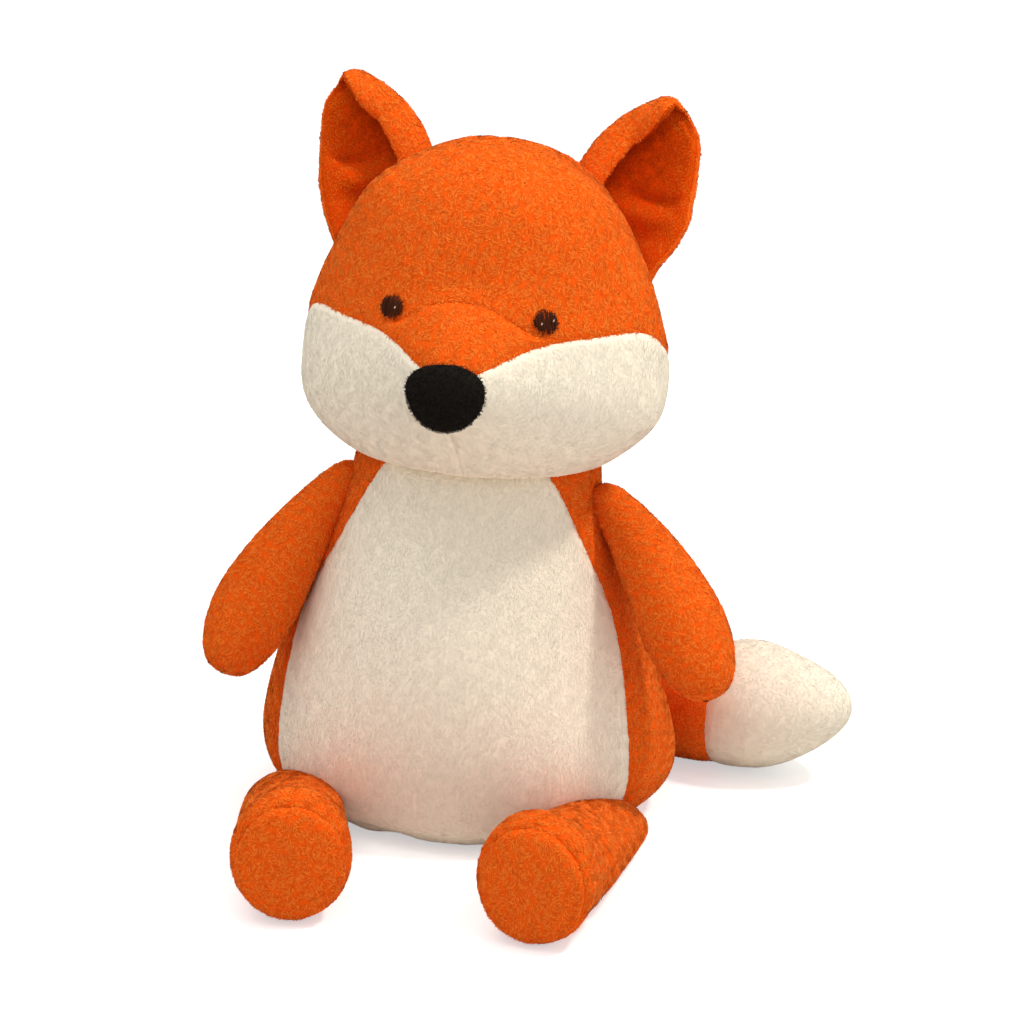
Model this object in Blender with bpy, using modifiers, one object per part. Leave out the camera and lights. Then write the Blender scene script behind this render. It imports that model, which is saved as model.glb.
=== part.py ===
"""Plush fox, sitting. Sewn fabric panels over soft filling, built in metres with +Z up.

The fox faces -Y and its left side is +X. The origin is on the floor under the seat.
Each stuffed form is a coarse cage with a subdivision surface. Its skin is split into the
sewn panels, and a filling of the same form lies inside them.
"""
import bpy
import bmesh
import numpy as np
from math import acos, asin, atan2, cos, exp, pi, radians, sin
from mathutils import Matrix, Vector

MM = 0.001

# Fabric and sewing
FABRIC = 3.0 * MM
SEAM_GAP = 0.3 * MM
SEAT_GAP = 0.3 * MM
FILLING_GAP = 0.9 * MM
FLOOR_CUT = 0.5 * MM
CUTTER_REACH = 400 * MM
FIT_STEPS = 9
SEAM_DRAW_SHARE = 0.7
SLOPE_STEP_SHARE = 0.01
SHARP_ANGLE = 50

# Head
NECK_Z = 180 * MM
HEAD_HEIGHT = 160 * MM
HEAD_WIDTH = 182 * MM
HEAD_DEPTH_FRONT = 68 * MM
HEAD_DEPTH_BACK = 80 * MM
HEAD_Y = -8 * MM
HEAD_UNDER = 3 * MM
HEAD_X = 4 * MM
HEAD_YAW = -2
HEAD_LEAN = 0.5
CHEEK_FORWARD = 6 * MM
MUZZLE_REACH = 33 * MM
MUZZLE_RISE = 61 * MM
MUZZLE_HALF_WIDTH = 35 * MM
MUZZLE_HALF_HEIGHT = 27 * MM
NOSE_WIDTH = 41 * MM
NOSE_HEIGHT = 35 * MM
NOSE_DEPTH = 33 * MM
NOSE_SINK = 6 * MM
EYE_DIAMETER = 10.5 * MM
EYE_THICK = 1.2 * MM
EYE_DEPTH = 9.6 * MM
EYE_SIDE_SHARE = 0.405
EYE_HEIGHT_SHARE = 0.55

# Ears, each point by its share of the head's half width, depth behind the head's middle,
# and share of the head's height
EAR_ROOT_INNER_SHARES = (0.46, 0.40, 0.89)
EAR_ROOT_OUTER_SHARES = (0.90, 0.15, 0.605)
EAR_TIP_SHARES = (0.91, 0.55, 1.075)
EAR_PANEL = 4 * MM
EAR_CUP = 13 * MM
EAR_OVERRUN = 14 * MM

# Torso
TORSO_WIDTH = 206 * MM
TORSO_DEPTH_FRONT = 88 * MM
TORSO_DEPTH_BACK = 80 * MM
NECK_TUCK = 16 * MM
SEAT_SHIFT = 24 * MM

# Arms, left side, from the shoulder seam to the tip of the paw
ARM_SHOULDER = Vector((55 * MM, -6 * MM, 163 * MM))
ARM_ELBOW = Vector((88 * MM, -30 * MM, 131 * MM))
ARM_TIP = Vector((116 * MM, -64 * MM, 79 * MM))
ARM_WIDTH = 41 * MM
ARM_DEPTH = 40 * MM
ARM_HINGE_DROP = 4 * MM
ARM_REST_LIFT = {"left": 5, "right": 0}

# Legs, left side, from the hip to the sole
HIP = Vector((80 * MM, -38 * MM, 0))
SOLE = Vector((55 * MM, -177 * MM, 0))
LEG_THICK = 45 * MM
FOOT_WIDTH = 57 * MM
FOOT_HEIGHT = 63 * MM
SOLE_DIAMETER = 55 * MM
FOOT_LENGTH = 46 * MM

# Tail
TAIL_ROOT_X = 22 * MM
TAIL_THICK = 63 * MM
TAIL_BEND = Vector((94 * MM, 79 * MM, 0))
TAIL_TIP = Vector((188 * MM, 47 * MM, 0))

# Colours seen on the plush
ORANGE = (0.62, 0.16, 0.025)
CREAM = (0.86, 0.80, 0.70)
BLACK = (0.012, 0.010, 0.010)
THREAD = (0.035, 0.014, 0.010)
WADDING = (0.90, 0.90, 0.88)


def clear_scene():
    for old in list(bpy.data.objects):
        bpy.data.objects.remove(old, do_unlink=True)


def collection(name):
    made = bpy.data.collections.new(name)
    bpy.context.scene.collection.children.link(made)
    return made


def fabric(name, colour, roughness):
    made = bpy.data.materials.new(name)
    made.use_nodes = True
    shader = made.node_tree.nodes["Principled BSDF"]
    shader.inputs["Base Color"].default_value = (*colour, 1)
    shader.inputs["Roughness"].default_value = roughness
    shader.inputs["Metallic"].default_value = 0
    made.diffuse_color = (*colour, 1)
    return made


def table(at, places, values):
    """Value of a hand-set table at one place, straight between its entries."""
    return float(np.interp(at, places, values))


def along(points, share):
    """A point on the smooth arc through a start, a bend and an end."""
    start, bend, end = points
    handle = 2 * bend - (start + end) / 2
    near = (1 - share) ** 2 * start
    return near + 2 * share * (1 - share) * handle + share ** 2 * end


def run_of(points, share):
    """The direction of that arc at a share of its way."""
    ahead = along(points, share + SLOPE_STEP_SHARE)
    return (ahead - along(points, share - SLOPE_STEP_SHARE)).normalized()


class Form:
    """A stuffed form: rings of points, the smooth surface through them and its normals.

    rings[r][c] are the points of ring r. first and last are the two poles.
    panel_of(r, c) names the panel of the cage face below ring r, beside column c.
    """

    def __init__(self, name, rings, first, last, panel_of):
        self.name = name
        self.rings = rings
        self.columns = len(rings[0])
        self.rows = len(rings)
        self.poles = (Vector(first), Vector(last))
        self.panel_of = panel_of
        self.panels = []
        self.points, self.normals, self.faces = self.smooth_surface()

    def index(self, vertex):
        """Ring and column of a vertex of the unit ball that the cage starts from."""
        step = self.rows + 1
        ring = round(acos(max(-1, min(1, vertex.z))) / pi * step)
        column = round(atan2(vertex.x, -vertex.y) / (2 * pi) * self.columns) % self.columns
        return ring, column

    def target(self, ring, column):
        if ring == 0:
            return self.poles[0]
        if ring > self.rows:
            return self.poles[1]
        return self.rings[ring - 1][column]

    def smooth_surface(self):
        """Moves the cage until its subdivision surface passes through the named points."""
        ball = bmesh.new()
        bmesh.ops.create_uvsphere(ball, u_segments=self.columns, v_segments=self.rows + 1, radius=1)
        ball.verts.ensure_lookup_table()
        targets = [self.target(*self.index(v.co)) for v in ball.verts]
        keys = [self.index(v.co) for v in ball.verts]
        for face in ball.faces:
            face.material_index = self.panel_index(face, keys)
        for vertex, target in zip(ball.verts, targets):
            vertex.co = target
        ball.normal_update()
        bmesh.ops.recalc_face_normals(ball, faces=ball.faces)
        mesh = bpy.data.meshes.new(self.name + "_cage")
        ball.to_mesh(mesh)
        ball.free()
        for panel in self.panels:
            mesh.materials.append(None)
        cage = bpy.data.objects.new(self.name + "_cage", mesh)
        bpy.context.scene.collection.objects.link(cage)
        smooth = cage.modifiers.new("smooth", "SUBSURF")
        smooth.levels = 1
        smooth.render_levels = 1
        for step in range(FIT_STEPS):
            got = evaluated(cage)
            for vertex, target in zip(mesh.vertices, targets):
                vertex.co += target - got.vertices[vertex.index].co
        result = bmesh.new()
        result.from_mesh(evaluated(cage))
        self.middles = edge_middles(result, len(mesh.vertices))
        bmesh.ops.triangulate(result, faces=result.faces)
        result.normal_update()
        points = [v.co.copy() for v in result.verts]
        normals = [v.normal.copy() for v in result.verts]
        faces = [([v.index for v in f.verts], f.material_index) for f in result.faces]
        result.free()
        self.cage_faces = []
        for polygon in mesh.polygons:
            for corners in halves(list(polygon.vertices)):
                self.cage_faces.append((corners, polygon.material_index))
        self.cage_count = len(mesh.vertices)
        bpy.data.objects.remove(cage, do_unlink=True)
        return points, normals, faces

    def panel_index(self, face, keys):
        rings = sorted({keys[v.index][0] for v in face.verts})
        inner = [keys[v.index] for v in face.verts if 0 < keys[v.index][0] <= self.rows]
        columns = sorted({column for ring, column in inner})
        column = columns[0]
        if columns[-1] - columns[0] > 1:
            column = columns[-1]
        name = self.panel_of(rings[0], column)
        if name not in self.panels:
            self.panels.append(name)
        return self.panels.index(name)

    def moved(self, offset):
        """The whole surface moved along its normals."""
        shape = bmesh.new()
        verts = [shape.verts.new(p + n * offset) for p, n in zip(self.points, self.normals)]
        for corners, index in self.faces:
            shape.faces.new([verts[i] for i in corners])
        return shape


def edge_middles(shape, count):
    """For each edge of the cage, the vertex that subdivision put at its middle."""
    middles = {}
    for vertex in list(shape.verts)[count:]:
        others = [e.other_vert(vertex).index for e in vertex.link_edges]
        ends = [other for other in others if other < count]
        if len(ends) == 2:
            middles[frozenset(ends)] = vertex.index
    return middles


def halves(corners):
    """A four-sided face as two triangles that share its first diagonal."""
    if len(corners) == 3:
        return [corners]
    return [corners[:3], corners[2:] + corners[:1]]


def evaluated(item):
    graph = bpy.context.evaluated_depsgraph_get()
    graph.update()
    return item.evaluated_get(graph).to_mesh()


def finish(shape, name, material, home):
    """Makes an object from a closed shape whose faces point out."""
    shape.normal_update()
    bmesh.ops.recalc_face_normals(shape, faces=shape.faces)
    mesh = bpy.data.meshes.new(name)
    shape.to_mesh(mesh)
    shape.free()
    made = bpy.data.objects.new(name, mesh)
    home.objects.link(made)
    if material:
        mesh.materials.append(material)
        mesh.shade_smooth()
        mesh.set_sharp_from_angle(angle=radians(SHARP_ANGLE))
    return made


def make_panel(form, panel, name, material, home):
    """One sewn panel: its share of the skin, drawn in at its seams and given its thickness.

    The outside has all the points of the smooth surface. The hidden inside has the points
    of the cage, and those of the rim.
    """
    shape = bmesh.new()
    verts = [shape.verts.new(p) for p in form.points]
    shape.verts.index_update()
    wanted = form.panels.index(panel)
    for corners, index in form.faces:
        if index == wanted:
            shape.faces.new([verts[i] for i in corners])
    shape.verts.ensure_lookup_table()
    moves = {}
    for vertex in shape.verts:
        if vertex.is_boundary:
            moves[vertex] = seam_move(vertex, form.normals[vertex.index])
    normals = {v: form.normals[v.index] for v in shape.verts}
    for vertex, move in moves.items():
        vertex.co += move
    rim = [e for e in shape.edges if len(e.link_faces) == 1]
    sides = {}
    for place, vertex in enumerate(verts):
        if vertex in moves or (vertex.link_faces and place < form.cage_count):
            sides[vertex] = shape.verts.new(vertex.co - normals[vertex] * FABRIC)
    for corners, index in form.cage_faces:
        if index == wanted:
            inside = [sides[verts[i]] for i in with_middles(form, corners) if verts[i] in sides]
            shape.faces.new(list(reversed(inside)))
    for edge in rim:
        a, b = edge.verts
        shape.faces.new([a, b, sides[b], sides[a]])
    loose = [v for v in shape.verts if not v.link_faces]
    bmesh.ops.delete(shape, geom=loose, context="VERTS")
    bmesh.ops.triangulate(shape, faces=shape.faces)
    return finish(shape, name, material, home)


def with_middles(form, corners):
    """The corners of a cage face with the middles of its edges between them."""
    course = []
    for start, end in zip(corners, corners[1:] + corners[:1]):
        course.append(start)
        middle = form.middles.get(frozenset((start, end)))
        if middle is not None:
            course.append(middle)
    return course


def seam_move(vertex, normal):
    """The draw of a seam edge into its panel, square to the seam and along the skin."""
    ends = [e.other_vert(vertex).co for e in vertex.link_edges if e.is_boundary]
    run = (ends[0] - ends[-1]).normalized()
    inward = normal.cross(run).normalized()
    centres = [f.calc_center_median() - vertex.co for f in vertex.link_faces]
    if inward.dot(sum(centres, Vector())) < 0:
        inward.negate()
    return inward * SEAM_GAP * SEAM_DRAW_SHARE


def make_filling(form, name, material, home):
    """The stuffing: it runs parallel to the inside of the skin, a small gap inside it."""
    shape = bmesh.new()
    depth = FABRIC + FILLING_GAP
    verts = []
    for point, normal in list(zip(form.points, form.normals))[:form.cage_count]:
        verts.append(shape.verts.new(point - normal * depth))
    for corners, index in form.cage_faces:
        shape.faces.new([verts[i] for i in corners])
    return finish(shape, name, material, home)


def envelope(form, name, home):
    """A cutter: the outside of a form with the seating gap added."""
    return as_cutter(finish(form.moved(SEAT_GAP), name, None, home))


def slab(name, z, upwards, home):
    """A cutter: everything above or below a level."""
    shape = bmesh.new()
    bmesh.ops.create_cube(shape, size=2 * CUTTER_REACH)
    made = as_cutter(finish(shape, name, None, home))
    made.location.z = z + (CUTTER_REACH if upwards else -CUTTER_REACH)
    return made


def as_cutter(item):
    item.hide_render = True
    item.display_type = "WIRE"
    return item


def cut(item, *cutters):
    for cutter in cutters:
        step = item.modifiers.new(cutter.name, "BOOLEAN")
        step.operation = "DIFFERENCE"
        step.object = cutter
    return item


def hang(items, name, place, home):
    """Parents the pieces of a moving body to an empty on its joint."""
    pivot = bpy.data.objects.new(name, None)
    pivot.location = place
    home.objects.link(pivot)
    for item in items:
        item.parent = pivot
        item.matrix_parent_inverse = Matrix.Translation(-Vector(place))
    return pivot


# Head, as shares. Heights are shares of the way from the neck to the crown, turns are
# shares of the half turn from the muzzle to the back of the head.
HEAD_TURN_SHARES = (0, 0.075, 0.155, 0.28, 0.44, 0.60, 0.80, 1.0)
EAR_SEAM_SHARES = (0.72, 0.66, 0.58, 0.56, 0.58, 0.60, 0.60, 0.60, 0.60)
HEAD_HEIGHT_SHARES = (
    (0.93, 0.93, 0.93, 0.93, 0.93, 0.93, 0.93, 0.93),
    (0.81, 0.81, 0.81, 0.81, 0.81, 0.80, 0.80, 0.80),
    (0.70, 0.695, 0.69, 0.68, 0.65, 0.62, 0.62, 0.62),
    (0.607, 0.58, 0.523, 0.567, 0.533, 0.47, 0.46, 0.46),
    (0.427, 0.453, 0.497, 0.52, 0.467, 0.34, 0.32, 0.32),
    (0.28, 0.29, 0.31, 0.32, 0.27, 0.21, 0.20, 0.20),
    (0.13, 0.13, 0.14, 0.14, 0.13, 0.11, 0.11, 0.11),
    (0.04, 0.04, 0.04, 0.04, 0.04, 0.04, 0.04, 0.04),
    (-0.004, -0.004, -0.004, -0.004, -0.004, -0.004, -0.004, -0.004),
)
HEAD_PROFILE_SHARES = (
    (-0.02, -0.004, 0.04, 0.12, 0.22, 0.32, 0.42, 0.52, 0.62, 0.72, 0.82, 0.91, 0.97, 1.0),
    (0.0, 0.68, 0.83, 0.95, 0.995, 1.0, 0.965, 0.91, 0.85, 0.78, 0.68, 0.53, 0.33, 0.0),
)
ARC_RING = 4
CHEEK_RING = 5
BRIDGE_COLUMNS = 2
BACK_COLUMN = 5

# Torso: ring height, half width, front and back depth, and the turn of the tummy seam
TORSO_TURN_SHARES = (0, 0.17, 0, 0.50, 0.667, 0.833, 1.0)
TORSO_RING_SHARES = (
    (0.955, 0.44, 0.42, 0.44, 0.29),
    (0.857, 0.56, 0.55, 0.56, 0.30),
    (0.714, 0.655, 0.69, 0.66, 0.33),
    (0.561, 0.765, 0.82, 0.77, 0.355),
    (0.398, 0.885, 0.93, 0.88, 0.36),
    (0.235, 0.985, 1.0, 0.98, 0.33),
    (0.102, 1.0, 0.985, 1.0, 0.305),
    (0.018, 0.84, 0.83, 0.84, 0.30),
    (0.0, 0.45, 0.45, 0.45, 0.40),
)
TUMMY_COLUMN = 2

# Limbs: place along the middle line, and thickness
ARM_RING_SHARES = ((0.08, 0.56), (0.30, 0.74), (0.56, 0.93), (0.80, 1.0), (0.955, 0.64))
TAIL_RING_SHARES = ((0.07, 0.32), (0.28, 0.44), (0.58, 0.95), (0.78, 0.98), (0.935, 0.57))
TAIL_SEAM_RING = 3
TAIL_LIFT_SHARES = ((0, 0.3, 0.7, 1), (0.68, 0, 0, 1.25))
LIMB_COLUMNS = 8
SOLE_EDGE_SHARE = 0.10
SOLE_FACE_SHARE = 0.03
SOLE_MIDDLE_SHARE = 0.6
FOOT_MIDDLE_SHARE = 0.50
HIP_RING_SHARE = 0.93
HIP_THICK_SHARE = 0.7
LEG_MIDDLE_SHARE = 0.62
EAR_OUTLINE_SHARES = ((0.0, 0.2, 0.45, 0.7, 0.88, 1.0), (1.0, 0.93, 0.76, 0.50, 0.27, 0.08))
EAR_COLUMNS = 6


def mirrored(column, columns):
    """Position of a column on its own half, and which half it is on."""
    half = columns // 2
    if column <= half:
        return column, 1
    return columns - column, -1


def head_pose():
    """The head sits a little turned and leaning on the neck."""
    pivot = Matrix.Translation((0, HEAD_Y, NECK_Z))
    turned = Matrix.Rotation(radians(HEAD_YAW), 4, "Z") @ Matrix.Rotation(radians(HEAD_LEAN), 4, "Y")
    return Matrix.Translation((HEAD_X, 0, 0)) @ pivot @ turned @ pivot.inverted()


def head_point(turn, share):
    """A point of the head at a turn from the muzzle and a share of the height."""
    z = NECK_Z + share * HEAD_HEIGHT
    size = table(share, *HEAD_PROFILE_SHARES)
    depth = HEAD_DEPTH_FRONT if cos(turn) > 0 else HEAD_DEPTH_BACK
    x = size * sin(turn) * HEAD_WIDTH / 2
    y = HEAD_Y - size * (cos(turn) * depth + sin(turn) ** 2 * CHEEK_FORWARD)
    if cos(turn) > 0:
        over = share * HEAD_HEIGHT - MUZZLE_RISE
        out = (x / MUZZLE_HALF_WIDTH) ** 2 + (over / MUZZLE_HALF_HEIGHT) ** 2
        y -= MUZZLE_REACH * exp(-out)
    return Vector((x, y, z))


def head_form():
    columns = 2 * (len(HEAD_TURN_SHARES) - 1)
    rings = []
    pose = head_pose()
    for ring, heights in enumerate(HEAD_HEIGHT_SHARES):
        points = []
        for column in range(columns):
            place, side = mirrored(column, columns)
            share = EAR_SEAM_SHARES[ring] if place == BACK_COLUMN else HEAD_TURN_SHARES[place]
            points.append(pose @ head_point(side * pi * share, heights[place]))
        rings.append(points)
    low = Vector((0, HEAD_Y, NECK_Z - HEAD_UNDER))
    return Form("head", rings, pose @ head_point(0, 1), pose @ low, head_panel)


def head_panel(ring, column):
    columns = 2 * (len(HEAD_TURN_SHARES) - 1)
    side = "left" if column < columns // 2 else "right"
    place = min(column, columns - 1 - column)
    if place >= BACK_COLUMN:
        return "back_" + side
    if ring >= CHEEK_RING:
        return "cheek_" + side
    if ring == ARC_RING and place < BRIDGE_COLUMNS:
        return "bridge"
    return "crown"


def torso_form():
    columns = 2 * (len(TORSO_TURN_SHARES) - 1)
    top = NECK_Z + NECK_TUCK
    rings = []
    for ring, (height, width, front, back, seam) in enumerate(TORSO_RING_SHARES):
        low = ring == len(TORSO_RING_SHARES) - 1
        points = []
        for column in range(columns):
            place, side = mirrored(column, columns)
            turn = side * pi * (seam if place == TUMMY_COLUMN else TORSO_TURN_SHARES[place])
            depth = front * TORSO_DEPTH_FRONT if cos(turn) > 0 else back * TORSO_DEPTH_BACK
            x = width * sin(turn) * TORSO_WIDTH / 2
            y = (SEAT_SHIFT if low else 0) - cos(turn) * depth
            points.append(Vector((x, y, height * top - FLOOR_CUT)))
        rings.append(points)
    return Form("torso", rings, (0, 0, top), (0, SEAT_SHIFT, -FLOOR_CUT), torso_panel)


def torso_panel(ring, column):
    columns = 2 * (len(TORSO_TURN_SHARES) - 1)
    place = min(column, columns - 1 - column)
    if place < TUMMY_COLUMN:
        return "tummy"
    return "back_left" if column < columns // 2 else "back_right"


def on_side(point, side):
    return Vector((point[0] * side, point[1], point[2]))


def arm_form(side):
    """A bent drop from the shoulder to the paw, with its seam down both edges."""
    line = (ARM_SHOULDER, ARM_ELBOW, ARM_TIP)
    hinge = Matrix.Translation(arm_hinge(1))
    angle = radians(ARM_REST_LIFT["left" if side > 0 else "right"])
    lift = hinge @ Matrix.Rotation(-angle, 4, "Y") @ hinge.inverted()
    rings = []
    for place, size in ARM_RING_SHARES:
        centre = along(line, place)
        run = run_of(line, place)
        front = (Vector((0, -1, 0)) + run * run.y).normalized()
        across = run.cross(front)
        points = []
        for column in range(LIMB_COLUMNS):
            turn = 2 * pi * column / LIMB_COLUMNS
            offset = across * cos(turn) * ARM_WIDTH + front * sin(turn) * ARM_DEPTH
            points.append(on_side(lift @ (centre + offset * size / 2), side))
        rings.append(points)
    ends = [on_side(lift @ end, side) for end in (ARM_SHOULDER, ARM_TIP)]
    return Form("arm", rings, *ends, arm_panel)


def arm_panel(ring, column):
    return "front" if column < LIMB_COLUMNS // 2 else "back"


def leg_form(side):
    """A leg laid forward along the floor, from the hip to the round sole."""
    run = (SOLE - HIP).normalized()
    across = run.cross(Vector((0, 0, 1)))
    length = (SOLE - HIP).length
    foot = FOOT_LENGTH
    tube = length - foot
    sole_middle = SOLE_MIDDLE_SHARE * SOLE_DIAMETER
    hip_thick = HIP_THICK_SHARE * LEG_THICK
    stations = (
        (SOLE_FACE_SHARE * foot, sole_middle, sole_middle),
        (SOLE_EDGE_SHARE * foot, SOLE_DIAMETER, SOLE_DIAMETER),
        (FOOT_MIDDLE_SHARE * foot, FOOT_WIDTH, FOOT_HEIGHT),
        (foot, LEG_THICK, LEG_THICK),
        (foot + LEG_MIDDLE_SHARE * tube, LEG_THICK, LEG_THICK),
        (foot + HIP_RING_SHARE * tube, hip_thick, hip_thick),
    )
    rings = []
    for back, width, height in stations:
        middle = max(height, SOLE_DIAMETER) if back <= SOLE_EDGE_SHARE * foot else height
        if back > foot + LEG_MIDDLE_SHARE * tube:
            middle = LEG_THICK
        centre = SOLE - run * back + Vector((0, 0, middle / 2 - FLOOR_CUT))
        points = []
        for column in range(LIMB_COLUMNS):
            turn = 2 * pi * column / LIMB_COLUMNS
            offset = across * cos(turn) * width / 2 + Vector((0, 0, sin(turn) * height / 2))
            points.append(on_side(centre + offset, side))
        rings.append(points)
    sole = SOLE + Vector((0, 0, SOLE_DIAMETER / 2 - FLOOR_CUT))
    hip = HIP + Vector((0, 0, LEG_THICK / 2 - FLOOR_CUT))
    return Form("leg", rings, on_side(sole, side), on_side(hip, side), leg_panel)


def leg_panel(ring, column):
    if ring < 2:
        return "sole"
    return "foot" if ring < 4 else "tube"


def tail_line():
    depth = TORSO_DEPTH_BACK * (1 - (2 * TAIL_ROOT_X / TORSO_WIDTH) ** 2) ** 0.5
    root = Vector((TAIL_ROOT_X, depth + SEAT_GAP, 0))
    return root, TAIL_BEND, TAIL_TIP


def tail_form():
    line = tail_line()
    rings = []
    for place, size in TAIL_RING_SHARES:
        run = run_of(line, place)
        across = run.cross(Vector((0, 0, 1)))
        radius = size * TAIL_THICK / 2
        centre = along(line, place) + Vector((0, 0, tail_height(place, radius)))
        points = []
        for column in range(LIMB_COLUMNS):
            turn = 2 * pi * column / LIMB_COLUMNS
            points.append(centre + (across * cos(turn) + Vector((0, 0, sin(turn)))) * radius)
        rings.append(points)
    root = line[0] + Vector((0, 0, tail_height(0, 0)))
    tip = line[2] + Vector((0, 0, tail_height(1, 0)))
    return Form("tail", rings, root, tip, tail_panel)


def tail_panel(ring, column):
    return "base" if ring < TAIL_SEAM_RING else "tip"


def tail_height(place, radius):
    """Height of the tail's middle line: on the floor where it is thick, lifted at its ends."""
    ends = table(place, *TAIL_LIFT_SHARES) * TAIL_THICK / 2
    return max(radius - FLOOR_CUT, ends)


def head_place(side_share, depth_share, height_share):
    """A point by the head's half width, its depth behind and its height."""
    x = side_share * HEAD_WIDTH / 2
    y = HEAD_Y + depth_share * HEAD_DEPTH_BACK
    return Vector((x, y, NECK_Z + height_share * HEAD_HEIGHT))


def ear_corners():
    """The inner and outer ends of the ear's root, and its tip, on the left side."""
    corners = (EAR_ROOT_INNER_SHARES, EAR_ROOT_OUTER_SHARES, EAR_TIP_SHARES)
    return [head_place(*shares) for shares in corners]


def ear_point(across, height, side):
    """A point of the ear's middle sheet. across runs from -1, inner edge, to 1."""
    inner, outer, tip = ear_corners()
    middle = (inner + outer) / 2
    base = (outer - inner) / 2
    rise = tip - middle
    forward = rise.cross(base).normalized()
    if forward.y > 0:
        forward.negate()
    size = table(max(height, 0), *EAR_OUTLINE_SHARES)
    point = middle + base * across * size + rise * height + forward * EAR_CUP * across ** 2 * size
    return on_side(point, side), on_side(forward, side)


def make_ear(side, depths, name, material, home):
    """One ear panel: a cupped sheet between two distances in front of the middle sheet."""
    shape = bmesh.new()
    inner, outer, tip = ear_corners()
    heights = (-EAR_OVERRUN / (tip - inner).length,) + EAR_OUTLINE_SHARES[0]
    sheets = []
    for depth in depths:
        sheet = []
        for height in heights:
            row = []
            for column in range(EAR_COLUMNS + 1):
                point, forward = ear_point(2 * column / EAR_COLUMNS - 1, height, side)
                row.append(shape.verts.new(point + forward * depth))
            sheet.append(row)
        sheets.append(sheet)
    last = len(heights) - 1
    for row in range(last):
        for column in range(EAR_COLUMNS):
            for sheet in sheets:
                low, high = sheet[row:row + 2]
                shape.faces.new((low[column], low[column + 1], high[column + 1], high[column]))
    edge = [(0, c) for c in range(EAR_COLUMNS)] + [(r, EAR_COLUMNS) for r in range(last)]
    edge += [(last, c) for c in range(EAR_COLUMNS, 0, -1)] + [(r, 0) for r in range(last, 0, -1)]
    near_sheet, far_sheet = sheets
    for (r0, c0), (r1, c1) in zip(edge, edge[1:] + edge[:1]):
        shape.faces.new((near_sheet[r0][c0], near_sheet[r1][c1], far_sheet[r1][c1], far_sheet[r0][c0]))
    bmesh.ops.triangulate(shape, faces=shape.faces)
    bmesh.ops.transform(shape, matrix=head_pose(), verts=shape.verts)
    return finish(shape, name, material, home)


def make_nose(name, material, home):
    """A rounded pad over the end of the muzzle."""
    shape = bmesh.new()
    bmesh.ops.create_uvsphere(shape, u_segments=14, v_segments=8, radius=1)
    size = Matrix.Diagonal((NOSE_WIDTH / 2, NOSE_DEPTH / 2, NOSE_HEIGHT / 2, 1))
    bmesh.ops.transform(shape, matrix=size, verts=shape.verts)
    front = HEAD_Y - HEAD_DEPTH_FRONT - MUZZLE_REACH
    bmesh.ops.translate(shape, vec=(0, front + NOSE_SINK, NECK_Z + MUZZLE_RISE), verts=shape.verts)
    bmesh.ops.transform(shape, matrix=head_pose(), verts=shape.verts)
    return finish(shape, name, material, home)


def make_eye(side, name, material, home):
    """A satin-stitched disc that lies on the crown."""
    shape = bmesh.new()
    bmesh.ops.create_cone(shape, cap_ends=True, segments=14, radius1=EYE_DIAMETER / 2,
                          radius2=EYE_DIAMETER / 2, depth=EYE_DEPTH)
    share = EYE_HEIGHT_SHARE
    turn = asin(EYE_SIDE_SHARE / table(share, *HEAD_PROFILE_SHARES))
    here = head_point(turn, share)
    beside = head_point(turn + SLOPE_STEP_SHARE, share) - here
    above = head_point(turn, share + SLOPE_STEP_SHARE) - here
    slope = beside.cross(above).normalized()
    if slope.y > 0:
        slope.negate()
    bmesh.ops.transform(shape, matrix=slope.to_track_quat("Z", "Y").to_matrix().to_4x4(), verts=shape.verts)
    bmesh.ops.translate(shape, vec=here + slope * (EYE_THICK - EYE_DEPTH / 2), verts=shape.verts)
    for vertex in shape.verts:
        vertex.co.x *= side
    bmesh.ops.transform(shape, matrix=head_pose(), verts=shape.verts)
    return finish(shape, name, material, home)


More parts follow.
